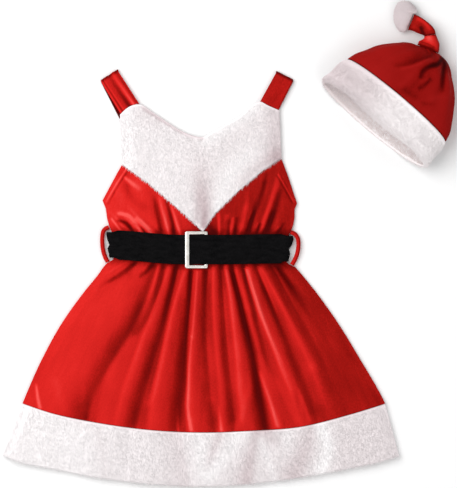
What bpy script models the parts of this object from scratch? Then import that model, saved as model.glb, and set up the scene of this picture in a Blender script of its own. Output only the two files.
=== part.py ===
"""A baby Santa dress with its own belt and the matching hat, laid out flat on a surface.

The dress lies on its back with the neck towards +Y, and the hat lies on its side beside it.
Lengths are in millimetres and are turned into metres when a mesh is made. The origin is on the
surface, under the middle of the set. Dress tables count from the middle of the waist seam, hat
tables from the middle of the brim, with a along the brim and b towards the crown.
"""

from collections import namedtuple
from math import cos, pi, radians, sin

import bmesh
import bpy
import numpy as np

# Driving sizes: walls of cloth and the clearances between pieces
VELOUR = 1.4
PLUSH = 3.0
STRAP = 2.2
BELT = 1.7
HAT_PLUSH = 4.0
SEAM = 0.3
SLANT_SEAM = 1.3 * SEAM
HEM_SEAM_UP = 0.75 * SEAM
PLY = 0.5

# Driving sizes: places of the dress and the hat in the set
DRESS_AT = (-31.4, -1.5)
HAT_AT = (158.7, 132.5)
HAT_TURN = radians(-40)

# Driving sizes: belt and buckle
BELT_WIDTH = 32.4
BELT_NARROW = 4.0
BELT_UNDER = 7.9
BELT_END = 97.0
BELT_TURN = 4.3
BELT_TUCK = 2.6
BELT_TAB = 88.0
BUCKLE_CENTRE = (-3.9, -4.9)
BUCKLE_SIZE = (25.0, 40.8)
BUCKLE_THICK = 2.0
BUCKLE_LEFT_BAR = 4.8
BUCKLE_BAR = 3.5
BUCKLE_CORNER = 2.0
BUCKLE_INNER_CORNER = 0.8
BUCKLE_LEFT_Z = 11.2
BUCKLE_RIGHT_Z = 8.95
BELT_NEAR = 4.0
BELT_RISE_FROM = 1.0
BELT_RISE_SHORT = 7.0
BELT_DOWN = 13.0
BELT_DOWN_END = 1.5
BELT_OVER_BAR = 0.4

# The belt's centre line: its height at the left end, the drop to the buckle, the rise after it
BELT_LEFT_Y = 0.6
BELT_DROP = 5.2
BELT_DROP_FROM = -100.0
BELT_REGAIN = 1.0
BELT_REGAIN_FROM = 20.0
BELT_SLOPE_RUN = 80.0

# Side edges of the laid-out dress from the chest to the lower hem
Side = namedtuple("Side", "y left right")
SIDES = [
    Side(96, -86.0, 89.5), Side(88, -86.0, 92.5), Side(67, -97.5, 100.0),
    Side(49, -107.2, 105.8), Side(46, -105.6, 106.8), Side(40, -103.4, 104.1),
    Side(30, -102.2, 104.1), Side(22, -100.1, 102.6), Side(15, -97.4, 99.5),
    Side(8, -94.8, 95.6), Side(0, -94.0, 94.0), Side(-10, -94.2, 94.0),
    Side(-16, -95.4, 94.8), Side(-18.6, -101.2, 95.6), Side(-20.5, -103.2, 97.4),
    Side(-23.5, -106.0, 104.6), Side(-31, -111.1, 111.1), Side(-50, -126.5, 126.5),
    Side(-84, -150.9, 150.9), Side(-123, -172.7, 174.9), Side(-174, -195.3, 203.8),
    Side(-231, -217.8, 223.3),
]

# Rows of the skirt panels, by their depth below the waist at the side edge
FRONT_ROWS = (0, 8, 16, 18.6, 20.5, 23.5, 31, 42, 58, 80, 106, 134, 156, 174)
BACK_ROWS = (0, 8, 16, 20.5, 31, 50, 80, 115, 146, 174)

# Points across the panels, points down the hem bands and the bib, and the share of even spacing
# where the points lie closer together in the middle
FRONT_COLUMNS = 52
BACK_COLUMNS = 32
HEM_COLUMNS = 44
BIB_HALF_COLUMNS = 10
BODICE_COLUMNS = 18
BACK_BODICE_COLUMNS = 25
STRAP_COLUMNS = 7
BELT_COLUMNS = 5
BELT_RUN_ROWS = (12, 14, 9)
BELT_TURN_ROWS = 8
BELT_TAB_ROWS = 3
BELT_BACK_ROWS = 12
HEM_FRONT_ROWS = 5
HEM_BACK_ROWS = 4
BIB_ROWS = 10
EVEN_SHARE = 0.62

# Share of the thickness lost at the rolled edges of the plush
HEM_ROUND = 0.35
BIB_ROUND = 0.3

# Seam between skirt and hem band, and the hem's lower edge
Edge = namedtuple("Edge", "x y")
HEM_SEAM = [
    Edge(-195.0, -174), Edge(-165, -184), Edge(-110, -195.6), Edge(-55, -203), Edge(0, -205.8),
    Edge(55, -204), Edge(110, -199.6), Edge(165, -186), Edge(203.7, -174.2),
]
HEM_LOW = [
    Edge(-217.8, -230.6), Edge(-203, -236.7), Edge(-165, -245), Edge(-110, -255.5),
    Edge(-55, -262), Edge(0, -264.8), Edge(55, -262), Edge(110, -255), Edge(165, -245),
    Edge(203, -236.5), Edge(219, -231.5),
]

# Outline of the bib: the seam under each strap and the neckline, then the V of its lower edge
BIB_TOP = [
    Edge(-87.9, 143.8), Edge(-82, 149.6), Edge(-74, 154.2), Edge(-66, 155.0), Edge(-51, 145.8),
    Edge(-37, 136.4), Edge(-21, 126.2), Edge(-8, 120.8), Edge(2, 119.2), Edge(16, 126.0),
    Edge(32, 134.9), Edge(45, 143.0), Edge(58, 154.2), Edge(65, 157.8), Edge(76, 153.4),
    Edge(87.2, 148.6),
]
BIB_LOW = [
    Edge(-85.8, 89.0), Edge(-56, 67.8), Edge(-31, 46.4), Edge(-8, 26.0), Edge(3.3, 14.4),
    Edge(7, 20.6), Edge(16, 34.8), Edge(40, 58.0), Edge(69, 82.2), Edge(89.5, 96.2),
]
BIB_TIP = 0.508

# Bodice fronts, row by row from the armhole corner to the waist: outer edge, then inner edge
Row = namedtuple("Row", "outer_x outer_y inner_x inner_y")
BODICE_LEFT = [
    Row(-86.2, 87.9, -83.6, 86.8), Row(-91.6, 78.5, -72, 79), Row(-97.5, 67.5, -57, 68),
    Row(-102.6, 58, -43, 57), Row(-107.2, 49.5, -31, 46), Row(-103.6, 40.5, -19, 36),
    Row(-102.2, 30, -8, 26), Row(-100.1, 22, 0.6, 17), Row(-97.4, 15, 3.1, 11.5),
    Row(-94.8, 8, 3.1, 6), Row(-94.0, 0.15, 3.1, 0.15),
]
BODICE_RIGHT = [
    Row(89.8, 95.0, 87.0, 93.2), Row(94.0, 84, 74, 85.5), Row(98.4, 72, 58, 73),
    Row(102.5, 59, 46, 63), Row(106.8, 46.2, 33, 51), Row(104.1, 39.6, 22, 40.5),
    Row(104.1, 29.7, 13, 29.8), Row(102.4, 21.5, 6.4, 18.5), Row(99.5, 14.5, 3.5, 11.5),
    Row(95.4, 7.5, 3.5, 6), Row(94.0, 0.15, 3.5, 0.15),
]
BACK_BODICE = [
    Side(105.6, -77, 69.3), Side(97, -80.2, 80), Side(88, -84.6, 87.8), Side(76, -90.8, 93.4),
    Side(62, -98.2, 99.0), Side(48.5, -104.9, 104.6), Side(40, -101.9, 102.4),
    Side(30, -100.8, 102.2), Side(22, -98.7, 100.8), Side(15, -96.0, 97.8),
    Side(8, -93.4, 94.0), Side(0.15, -92.6, 92.6),
]
BACK_INSET = 1.4

# Long folds of the skirt: x of the fold line at four levels, height at the belt and at the hem,
# spread at the belt and at the hem. A negative height is a trough.
FOLD_LEVELS = (-20, -80, -150, -260)
Fold = namedtuple("Fold", "belt upper lower hem high_belt high_hem wide_belt wide_hem")
SKIRT_FOLDS = [
    Fold(-52.0, -71.5, -117.5, -138, -2.0, -3.6, 4.0, 12.0),
    Fold(-33.0, -54.5, -79.5, -97, 2.1, 2.6, 3.2, 8.5),
    Fold(-25.0, -39.5, -56.5, -84, -2.0, -2.2, 2.6, 7.0),
    Fold(-14.5, -32.0, -46.5, -62, 2.2, 2.8, 3.0, 8.0),
    Fold(-8.0, -12.5, -18.5, -24, -3.0, -3.6, 2.4, 6.0),
    Fold(-2.2, -6.5, -11.0, -2, 3.1, 3.8, 2.4, 6.0),
    Fold(8.5, 4.4, 7.7, 15, -2.2, -2.0, 3.0, 7.0),
    Fold(15.0, 15.6, 22.0, 29, 1.8, 1.8, 2.4, 6.0),
    Fold(21.5, 25.3, 31.0, 41, -1.6, -2.0, 2.3, 6.0),
    Fold(27.5, 36.5, 43.5, 57, 2.3, 3.2, 2.6, 7.5),
    Fold(33.5, 48.0, 62.0, 88, -3.0, -4.4, 2.7, 8.0),
    Fold(52.8, 69.0, 96.0, 122, 3.0, 4.2, 2.7, 8.5),
    Fold(58.5, 83.0, 111.0, 146, -2.0, -2.6, 2.6, 8.0),
    Fold(65.0, 97.0, 130.0, 166, 2.1, 2.2, 2.8, 9.0),
    Fold(75.0, 109.0, 143.0, 184, -1.8, -1.4, 3.2, 11.0),
]
BACK_FOLDS = [
    Fold(-66.0, -96.0, -124.0, -150, 1.6, 1.0, 3.5, 10.0),
    Fold(-43.0, -63.0, -86.0, -110, 2.0, 1.6, 3.2, 9.0),
    Fold(-21.0, -31.0, -46.0, -60, 1.8, 1.4, 3.0, 8.0),
    Fold(-2.0, -4.0, -2.0, -6, 2.0, 1.8, 3.0, 8.0),
    Fold(20.0, 32.0, 42.0, 58, 1.8, 1.5, 3.0, 8.0),
    Fold(44.0, 66.0, 91.0, 118, 2.0, 1.6, 3.2, 9.0),
    Fold(68.0, 99.0, 132.0, 160, 1.6, 1.0, 3.5, 10.0),
]

# Short gathers: from (start_x, start_y) beside the belt to (end_x, end_y), where they fade
Gather = namedtuple("Gather", "start_x start_y end_x end_y high wide")
SKIRT_GATHERS = [
    Gather(-66, -16, -108, -46, -1.6, 3.0), Gather(-45, -20, -53, -54, 1.2, 2.6),
    Gather(-40, -20, -52, -64, -1.3, 2.4), Gather(39, -20, 67, -128, 1.4, 2.6),
    Gather(45, -20, 74, -132, -1.5, 2.6), Gather(84, -24, 112, -90, 1.0, 3.4),
    Gather(88, -26, 130, -92, -1.2, 3.6), Gather(-84, -20, -104, -32, 0.9, 3.0),
    Gather(72, -150, 92, -230, 1.5, 5.0), Gather(50, -175, 34, -225, 1.2, 5.0),
]
BODICE_GATHERS = [
    Gather(-79, 14, -99, 38, 1.4, 3.0), Gather(-66, 14, -87, 38, 1.5, 3.0),
    Gather(-73, 14, -88, 32, -1.2, 2.6), Gather(-52, 14, -78, 42, 1.4, 3.0),
    Gather(-59, 14, -74, 32, -1.0, 2.6), Gather(-45, 14, -50, 30, 0.9, 2.6),
    Gather(-40, 14, -50, 62, -1.4, 3.2), Gather(-35, 14, -44, 50, 1.3, 2.6),
    Gather(-30, 14, -35, 48, -1.3, 2.4), Gather(-21, 14, -31, 42, 1.3, 2.6),
    Gather(22, 14, 21, 36, 1.3, 2.4), Gather(28, 14, 31, 32, -1.0, 2.4),
    Gather(34, 14, 37, 32, 1.1, 2.4), Gather(40, 14, 44, 34, -1.1, 2.4),
    Gather(46, 14, 54, 62, 1.2, 2.8), Gather(53, 14, 65, 56, -1.4, 2.8),
    Gather(56, 14, 70, 78, 1.3, 3.0), Gather(64, 14, 79, 70, -0.9, 3.0),
    Gather(67, 14, 88, 84, 1.3, 3.2), Gather(73, 14, 86, 62, -1.4, 3.0),
    Gather(82, 14, 88, 34, 0.8, 3.0),
]
BACK_BODICE_GATHERS = [
    Gather(-70, 14, -82, 44, 1.5, 3.2), Gather(-46, 14, -52, 58, 1.7, 3.2),
    Gather(-22, 14, -25, 50, 1.5, 3.0), Gather(1, 14, 0, 60, 1.7, 3.0),
    Gather(24, 14, 27, 48, 1.5, 3.0), Gather(48, 14, 54, 60, 1.7, 3.2),
    Gather(71, 14, 82, 46, 1.5, 3.2),
]
GATHER_SLANT = (-0.4, 1.2)
GATHER_FADE = (0.55, 1.15)
FOLD_START = -8.0
WAIST_BLEND = 4.0

# What the belt does to the cloth under it: share of a fold left, and the fade beside it
PRESSED = 0.2
PRESS_FROM = 1.0
PRESS_FADE = 8.0
BELT_LIFT = 2.1
BELT_LIFT_FROM = 1.5
BELT_LIFT_FADE = 14.0

# The back lies flat under the bib, and elsewhere only folds above this height lift it
BACK_FLAT_FROM = 60.0
BACK_FLAT_FADE = 30.0
BACK_LEAST = 0.35
STRAP_FROM = 97.0
STRAP_BLEND = 8.0
HEM_BLEND = 12.0

# Height of the front panel's upper face along the middle, and how it falls at the sides
Height = namedtuple("Height", "y z")
FRONT_HEIGHTS = [
    Height(-265, 6.2), Height(-200, 7.8), Height(-110, 8.2), Height(-48, 7.6), Height(-22, 6.7),
    Height(0, 6.7), Height(20, 6.7), Height(60, 6.4), Height(100, 5.2), Height(160, 4.6),
]
SIDE_FALL = 13.0
SIDE_Z = 3.3

# Straps: the shoulder line, the seam on the bib, and where the strap meets the back bodice
Strap = namedtuple("Strap", "name outer_x outer_y inner_x inner_y seam_outer seam_inner back_x")
STRAPS = [
    Strap("strap_left", -108.9, 182.0, -89.9, 194.2, -87.4, -66.6, -62.0),
    Strap("strap_right", 102.5, 182.6, 83.6, 192.2, 86.8, 66.2, 55.0),
]
BACK_TOP = 105.6
STRAP_GAP = 0.6
STRAP_GROOVE = 0.5
STRAP_STEPS = (6, 6, 7)

# Belt loops: the middle line of each, from the bodice side to the skirt side
LOOP_WIDTH = 4.8
LOOP_THICK = 2.0
Knot = namedtuple("Knot", "x y z")
LOOPS = {
    "belt_loop_left": [
        Knot(-99.95, 19.9, 3.4), Knot(-104.0, 18.2, 3.6), Knot(-106.6, 14.4, 4.0),
        Knot(-107.4, 7.0, 4.4), Knot(-107.1, -1.0, 4.4), Knot(-105.9, -7.6, 4.0),
        Knot(-104.2, -12.8, 3.6), Knot(-101.4, -18.2, 3.4),
    ],
    "belt_loop_right": [
        Knot(99.8, 14.6, 3.4), Knot(104.6, 12.2, 3.6), Knot(107.6, 7.4, 4.0),
        Knot(108.3, 1.6, 4.4), Knot(107.8, -5.4, 4.4), Knot(106.2, -11.4, 4.0),
        Knot(103.8, -16.8, 3.6), Knot(101.0, -21.4, 3.4),
    ],
}

# Hat: rings from the brim to the knot, with the middle and half width along a, the lowest and
# highest z, how far the top of the ring is set back from its bottom, and its slope along a
Ring = namedtuple("Ring", "b middle half low high back slope", defaults=[0.0])
BAND_RINGS = [
    Ring(0.0, 1.0, 73.0, 0, 47, 17.5), Ring(3.0, 1.2, 75.0, 0, 50, 17.3),
    Ring(14.0, 2.0, 74.0, 0, 52, 16.2), Ring(33.5, 3.2, 72.0, 0, 53, 13.8),
    Ring(36.0, 3.4, 70.6, 0, 52, 13.5),
]
CROWN_RINGS = [
    Ring(36.4, 3.6, 70.6, 0, 51.5, 13.5), Ring(46.0, 3.9, 67.8, 0, 53, 12.0),
    Ring(57.0, 4.1, 61.7, 0, 53, 10.0), Ring(68.0, 3.6, 55.3, 0, 52, 8.0),
    Ring(78.0, 4.3, 47.7, 0, 49, 6.0), Ring(86.5, 3.1, 39.2, 1.0, 45, 4.0, 0.03),
    Ring(93.0, 1.6, 31.8, 3.0, 39, 2.0, 0.06), Ring(98.0, 2.0, 24.8, 5.5, 33, 1.0, 0.10),
    Ring(100.6, -1.0, 18.4, 7.0, 28, 0.5, 0.22), Ring(101.3, -6.2, 11.9, 8.0, 25.5, 0.0, 0.33),
]
HAT_SIDES = 32
HAT_SINK = 3.0
CROWN_PLEATS = 13
PLEAT_DEPTH = 0.15
PLEAT_EASE = 0.6
PLEAT_TURN = 0.6
CROWN_DENT = 4.0
CROWN_TOP = 3

# Knotted neck of the crown, then the tail: ribs across the cloth, each from its outer side to its
# inner side, with the height of its middle and half its thickness
Rib = namedtuple("Rib", "outer_a outer_b inner_a inner_b z half_thick")
KNOT_RIBS = [
    Rib(5.5, 105.5, -18.1, 97.7, 16.75, 8.75), Rib(4.6, 107.4, -18.9, 100.2, 17.0, 9.8),
    Rib(3.4, 109.6, -19.3, 102.2, 17.2, 10.3), Rib(-0.2, 114.0, -18.2, 104.6, 17.0, 9.6),
    Rib(-5.6, 117.2, -17.2, 107.4, 16.4, 7.8), Rib(-9.8, 119.3, -18.2, 109.6, 15.4, 5.6),
]
TAIL_RIBS = [
    Rib(-10.1, 119.6, -18.5, 109.9, 15.2, 5.0), Rib(-14.2, 122.6, -19.4, 110.0, 14.6, 4.6),
    Rib(-20.5, 124.0, -21.2, 109.5, 13.4, 4.2), Rib(-28.6, 124.0, -26.5, 107.6, 11.4, 4.0),
    Rib(-36.0, 123.2, -32.2, 106.0, 9.6, 4.0), Rib(-42.2, 121.6, -36.5, 103.6, 8.2, 4.0),
]
KNOT_SIDES = 16

# Plush tip at the tail's end: places of its sides on levels along its length
Level = namedtuple("Level", "along left right")
TIP_LEVELS = [
    Level(-18.2, -0.6, 4.4), Level(-15.5, -4.6, 5.9), Level(-11.0, -8.4, 6.6),
    Level(-6.5, -10.7, 7.2), Level(-2.5, -12.0, 7.7), Level(1.5, -12.7, 8.2),
    Level(4.9, -12.6, 8.6), Level(5.3, -12.6, 11.7), Level(9.4, -11.7, 11.4),
    Level(12.4, -10.3, 8.2), Level(14.8, -7.4, 3.4), Level(16.1, -4.6, 0.0),
]
TIP_CENTRE = Knot(-48.5, 113.5, 7.4)
TIP_LONG = (-0.424, 0.906)
TIP_HALF_LONG = 18.9
TIP_HALF_UP = 8.1
TIP_SIDES = 16
STRIP_SIDES = 8
STRIP_FULL = 0.6

# Section of the buckle's bars: share of the way from the outer edge to the inner, and height
Bar = namedtuple("Bar", "across up")
BUCKLE_SECTION = [
    Bar(0, -0.5), Bar(0, 0.5), Bar(0.3, 1), Bar(0.7, 1),
    Bar(1, 0.5), Bar(1, -0.5), Bar(0.7, -1), Bar(0.3, -1),
]

CLOTH_ROUGHNESS = 0.85
METAL_ROUGHNESS = 0.3
METAL = 0.9
RED = (0.62, 0.012, 0.016)
DARK_RED = (0.42, 0.008, 0.010)
WHITE = (0.90, 0.88, 0.89)
BLACK = (0.012, 0.011, 0.013)
SILVER = (0.78, 0.75, 0.70)


def smooth(t):
    t = np.clip(t, 0.0, 1.0)
    return t * t * (3 - 2 * t)


def above(a, b, blend=0.4):
    """A smooth surface that is never lower than either a or b."""
    return (a + b + np.sqrt((a - b) ** 2 + blend**2)) / 2


def through(points, at):
    """Smooth curve through (place, value) pairs, read at the given places."""
    xs, ys = np.array([(p[0], p[1]) for p in points], float).T
    if xs[0] > xs[-1]:
        xs, ys = xs[::-1], ys[::-1]
    slopes = np.gradient(ys, xs)
    at = np.clip(at, xs[0], xs[-1])
    k = np.clip(np.searchsorted(xs, at) - 1, 0, len(xs) - 2)
    step = xs[k + 1] - xs[k]
    t = (at - xs[k]) / step
    start, end = ys[k], ys[k + 1]
    tangent_in, tangent_out = slopes[k] * step, slopes[k + 1] * step
    turn = 2 * (start - end) + tangent_in + tangent_out
    rise = 3 * (end - start) - 2 * tangent_in - tangent_out
    return start + t * (tangent_in + t * (rise + t * turn))


def straight(points, at):
    """The same with straight runs between the points, for outlines with corners."""
    xs, ys = np.array([(p[0], p[1]) for p in points], float).T
    order = np.argsort(xs)
    return np.interp(at, xs[order], ys[order])


def side_left(y):
    return straight([(s.y, s.left) for s in SIDES], y)


def side_right(y):
    return straight([(s.y, s.right) for s in SIDES], y)


def belt_middle(x):
    """y of the belt's centre line: it drops from the left end to the buckle, then rises a little."""
    drop = BELT_DROP * smooth((x - BELT_DROP_FROM) / BELT_SLOPE_RUN)
    return BELT_LEFT_Y - drop + BELT_REGAIN * smooth((x - BELT_REGAIN_FROM) / BELT_SLOPE_RUN)


def pressed(x, y):
    """1 where the belt or the buckle presses the gathers flat, 0 away from them."""
    from_belt = abs(y - belt_middle(x)) - BELT_WIDTH / 2
    from_buckle = np.maximum(
        abs(x - BUCKLE_CENTRE[0]) - BUCKLE_SIZE[0] / 2,
        abs(y - BUCKLE_CENTRE[1]) - BUCKLE_SIZE[1] / 2,
    )
    return 1 - smooth((np.minimum(from_belt, from_buckle) - PRESS_FROM) / PRESS_FADE)


def long_folds(folds, x, y):
    depth = smooth((FOLD_LEVELS[0] - y) / (FOLD_LEVELS[0] - FOLD_LEVELS[-1]))
    total = np.zeros(np.broadcast(x, y).shape)
    for fold in folds:
        line = np.polyfit(FOLD_LEVELS, (fold.belt, fold.upper, fold.lower, fold.hem), 3)
        away = x - np.polyval(line, np.minimum(y, FOLD_START))
        high = fold.high_belt + (fold.high_hem - fold.high_belt) * depth
        wide = fold.wide_belt + (fold.wide_hem - fold.wide_belt) * depth
        total = total + high * np.exp(-((away / wide) ** 2))
    return total


def gathers(lines, x, y):
    total = np.zeros(np.broadcast(x, y).shape)
    for line in lines:
        t = (y - line.start_y) / (line.end_y - line.start_y)
        away = x - line.start_x - (line.end_x - line.start_x) * np.clip(t, *GATHER_SLANT)
        fade = smooth((GATHER_FADE[1] - t) / (GATHER_FADE[1] - GATHER_FADE[0]))
        total = total + line.high * fade * np.exp(-((away / line.wide) ** 2))
    return total


def folds_of(skirt, bodice, short, x, y):
    """Folds of one side of the dress: the skirt's below the waist seam, the bodice's above."""
    down = smooth((WAIST_BLEND - y) / (2 * WAIST_BLEND))
    wave = down * (long_folds(skirt, x, y) + gathers(short, x, y))
    wave = wave + (1 - down) * gathers(bodice, x, y)
    return wave * (1 - (1 - PRESSED) * pressed(x, y))


def inside(x, y, fall):
    """0 on the dress's side edges, 1 further in than the given distance."""
    near = np.minimum(x - side_left(y), side_right(y) - x)
    return smooth(near / fall)


def back_under(x, y):
    """Lower face of the back: flat on the surface, with grooves where the folds lift it."""
    wave = folds_of(BACK_FOLDS, BACK_BODICE_GATHERS, [], x, y)
    grooves = np.maximum(wave * inside(x, y, SIDE_FALL) - BACK_LEAST, 0)
    from_belt = abs(y - belt_middle(x)) - BELT_WIDTH / 2
    lift = BELT_LIFT * (1 - smooth((from_belt - BELT_LIFT_FROM) / BELT_LIFT_FADE))
    return lift + grooves * (1 - smooth((y - BACK_FLAT_FROM) / BACK_FLAT_FADE))


def back_cover(x, y):
    """Height that the front has to clear: back panel, back hem band or back strap."""
    hem = smooth((through(HEM_SEAM, x) - y) / HEM_BLEND + 1)
    strap = smooth((y - STRAP_FROM) / STRAP_BLEND)
    return back_under(x, y) + VELOUR + (PLUSH - VELOUR) * hem + (STRAP - VELOUR) * strap


def front_under(x, y):
    """Lower face of the front panel, which lies on the back panel and clears it everywhere."""
    middle = through(FRONT_HEIGHTS, y)
    mask = inside(x, y, SIDE_FALL)
    wave = folds_of(SKIRT_FOLDS, BODICE_GATHERS, SKIRT_GATHERS, x, y)
    top = SIDE_Z + (middle - SIDE_Z) * mask + wave * mask
    return above(top - VELOUR, back_cover(x, y) + PLY)


def finish(name, colour, roughness, metallic=0.0):
    made = bpy.data.materials.new(name)
    made.use_nodes = True
    shader = made.node_tree.nodes["Principled BSDF"]
    shader.inputs["Base Color"].default_value = (*colour, 1.0)
    shader.inputs["Roughness"].default_value = roughness
    shader.inputs["Metallic"].default_value = metallic
    made.diffuse_color = (*colour, 1.0)
    return made


def solid(name, points, faces, colour, roughness=CLOTH_ROUGHNESS, metallic=0.0):
    """One closed mesh object, from points in millimetres."""
    mesh = bpy.data.meshes.new(name)
    mesh.from_pydata((np.asarray(points, float) * 0.001).tolist(), [], faces)
    shape = bmesh.new()
    shape.from_mesh(mesh)
    bmesh.ops.recalc_face_normals(shape, faces=shape.faces)
    shape.to_mesh(mesh)
    shape.free()
    mesh.shade_smooth()
    mesh.set_sharp_from_angle(angle=radians(50))
    mesh.materials.append(finish(name, colour, roughness, metallic))
    made = bpy.data.objects.new(name, mesh)
    bpy.context.scene.collection.objects.link(made)
    return made


def grid_faces(rows, columns, start=0, closed=False, flip=False):
    faces = []
    for i in range(rows - 1):
        for j in range(columns if closed else columns - 1):
            k = (j + 1) % columns
            face = [i * columns + j, (i + 1) * columns + j, (i + 1) * columns + k, i * columns + k]
            faces.append([start + v for v in (face[::-1] if flip else face)])
    return faces


def wall(name, outer, inner, colour, closed=False):
    """A wall of cloth between two grids of points. A closed one runs round, like a tube."""
    rows, columns = outer.shape[:2]
    count = rows * columns
    faces = grid_faces(rows, columns, closed=closed)
    faces += grid_faces(rows, columns, count, closed, flip=True)
    rim = [[(0, j) for j in range(columns)], [(rows - 1, j) for j in range(columns)]]
    if closed:
        rim = [line + line[:1] for line in rim]
    else:
        rim += [[(i, 0) for i in range(rows)], [(i, columns - 1) for i in range(rows)]]
    for line in rim:
        for (i, j), (k, m) in zip(line, line[1:]):
            a, b = i * columns + j, k * columns + m
            faces.append([a, b, b + count, a + count])
    points = np.concatenate([outer.reshape(-1, 3), inner.reshape(-1, 3)])
    return solid(name, points, faces, colour)


def tube(name, rings, colour, roughness=CLOTH_ROUGHNESS, metallic=0.0, closed=False):
    """A solid through rings of points, with a flat cap at each end unless it is closed."""
    rows, columns = rings.shape[:2]
    if closed:
        rings = np.concatenate([rings, rings[:1]])
        faces = grid_faces(rows + 1, columns, closed=True)
        faces = [[v % (rows * columns) for v in face] for face in faces]
        return solid(name, rings[:-1].reshape(-1, 3), faces, colour, roughness, metallic)
    faces = grid_faces(rows, columns, closed=True)
    faces += [list(range(columns)), [(rows - 1) * columns + j for j in range(columns)]]
    return solid(name, rings.reshape(-1, 3), faces, colour, roughness, metallic)


def on_dress(x, y, z):
    return np.stack([x + DRESS_AT[0], y + DRESS_AT[1], z + 0 * x], axis=-1)


def on_hat(a, b, z):
    x = a * cos(HAT_TURN) - b * sin(HAT_TURN) + HAT_AT[0]
    y = a * sin(HAT_TURN) + b * cos(HAT_TURN) + HAT_AT[1]
    return np.stack([x, y, z + 0 * x], axis=-1)


def rounded_edge(x, cut):
    """Share of the full thickness over a grid: it drops by the cut along the grid's rim."""
    share = np.ones(x.shape)
    share[0, :] = share[-1, :] = share[:, 0] = share[:, -1] = 1 - cut
    return share


def panel(name, x, y, under, thick, colour, cut=0.0):
    """A panel of the dress over its plan grid, from its lower face and its thickness."""
    upper = under + thick * rounded_edge(x, cut)
    return wall(name, on_dress(x, y, upper), on_dress(x, y, under), colour)


def closer_in_middle(count):
    """Places from 0 to 1, closer together in the middle, where the folds are."""
    t = np.linspace(-1, 1, count)
    return (EVEN_SHARE * t + (1 - EVEN_SHARE) * t**3 + 1) / 2


def skirt_grid(rows, columns, inset):
    """Fan of rows from the waist seam to the hem seam."""
    along = np.array(rows) / rows[-1]
    across = closer_in_middle(columns)
    left, right = HEM_SEAM[0], HEM_SEAM[-1]
    seam = through(HEM_SEAM, left.x + (right.x - left.x) * across) + HEM_SEAM_UP
    y = -SEAM / 2 + np.outer(along, seam + SEAM / 2)
    corner = -SEAM / 2 + along * (left.y + SEAM)
    start = side_left(corner)[:, None] + inset
    end = side_right(corner)[:, None] - inset
    return start + (end - start) * across, y


def hem_grid(rows, columns, inset):
    """Rows of the hem band from its seam to its lower edge."""
    across = closer_in_middle(columns)
    along = np.linspace(0, 1, rows)[:, None]
    seam_x = HEM_SEAM[0].x + (HEM_SEAM[-1].x - HEM_SEAM[0].x) * across
    low_x = HEM_LOW[0].x + (HEM_LOW[-1].x - HEM_LOW[0].x) * across
    seam_y = through(HEM_SEAM, seam_x) - SEAM / 2
    low_y = through(HEM_LOW, low_x)
    x = seam_x + (low_x - seam_x) * along
    y = seam_y + (low_y + inset - seam_y) * along
    middle = (HEM_LOW[0].x + HEM_LOW[-1].x) / 2
    return middle + (x - middle) * (1 - inset / HEM_LOW[-1].x), y


def build_skirt():
    x, y = skirt_grid(FRONT_ROWS, FRONT_COLUMNS, 0)
    panel("skirt_front", x, y, front_under(x, y), VELOUR, RED)
    x, y = skirt_grid(BACK_ROWS, BACK_COLUMNS, BACK_INSET)
    panel("skirt_back", x, y, back_under(x, y), VELOUR, RED)
    x, y = hem_grid(HEM_FRONT_ROWS, HEM_COLUMNS, 0)
    panel("hem_front", x, y, front_under(x, y), PLUSH, WHITE, cut=HEM_ROUND)
    x, y = hem_grid(HEM_BACK_ROWS, BACK_COLUMNS, BACK_INSET)
    panel("hem_back", x, y, back_under(x, y), PLUSH, WHITE, cut=HEM_ROUND)


def build_bib():
    to_tip = np.linspace(0, BIB_TIP, BIB_HALF_COLUMNS + 1)
    from_tip = np.linspace(BIB_TIP, 1, BIB_HALF_COLUMNS + 1)
    across = np.concatenate([to_tip, from_tip[1:]])
    top_x = BIB_TOP[0].x + (BIB_TOP[-1].x - BIB_TOP[0].x) * across
    low_x = BIB_LOW[0].x + (BIB_LOW[-1].x - BIB_LOW[0].x) * across
    top_y = straight(BIB_TOP, top_x)
    low_y = straight(BIB_LOW, low_x)
    along = np.linspace(0, 1, BIB_ROWS)[:, None]
    x = top_x + (low_x - top_x) * along
    y = top_y + (low_y - top_y) * along
    panel("bib_front", x, y, front_under(x, y), PLUSH, WHITE, cut=BIB_ROUND)


def below_bib(x):
    """Highest y of a bodice front at x: the seam's gap is measured square to the bib's edge."""
    slope = (straight(BIB_LOW, x + 1) - straight(BIB_LOW, x - 1)) / 2
    return straight(BIB_LOW, x) - SLANT_SEAM * np.hypot(1, slope)


def build_bodice():
    for name, rows in (("bodice_front_left", BODICE_LEFT), ("bodice_front_right", BODICE_RIGHT)):
        table = np.array(rows)
        table[:, 3] = np.minimum(table[:, 3], below_bib(table[:, 2]))
        across = np.linspace(0, 1, BODICE_COLUMNS)
        x = table[:, 0:1] + (table[:, 2:3] - table[:, 0:1]) * across
        y = table[:, 1:2] + (table[:, 3:4] - table[:, 1:2]) * across
        panel(name, x, y, front_under(x, y), VELOUR, RED)
    rows = np.array(BACK_BODICE)
    across = np.linspace(0, 1, BACK_BODICE_COLUMNS)
    x = rows[:, 1:2] + (rows[:, 2:3] - rows[:, 1:2]) * across
    y = rows[:, 0:1] + 0 * across
    panel("bodice_back", x, y, back_under(x, y), VELOUR, RED)


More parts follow.
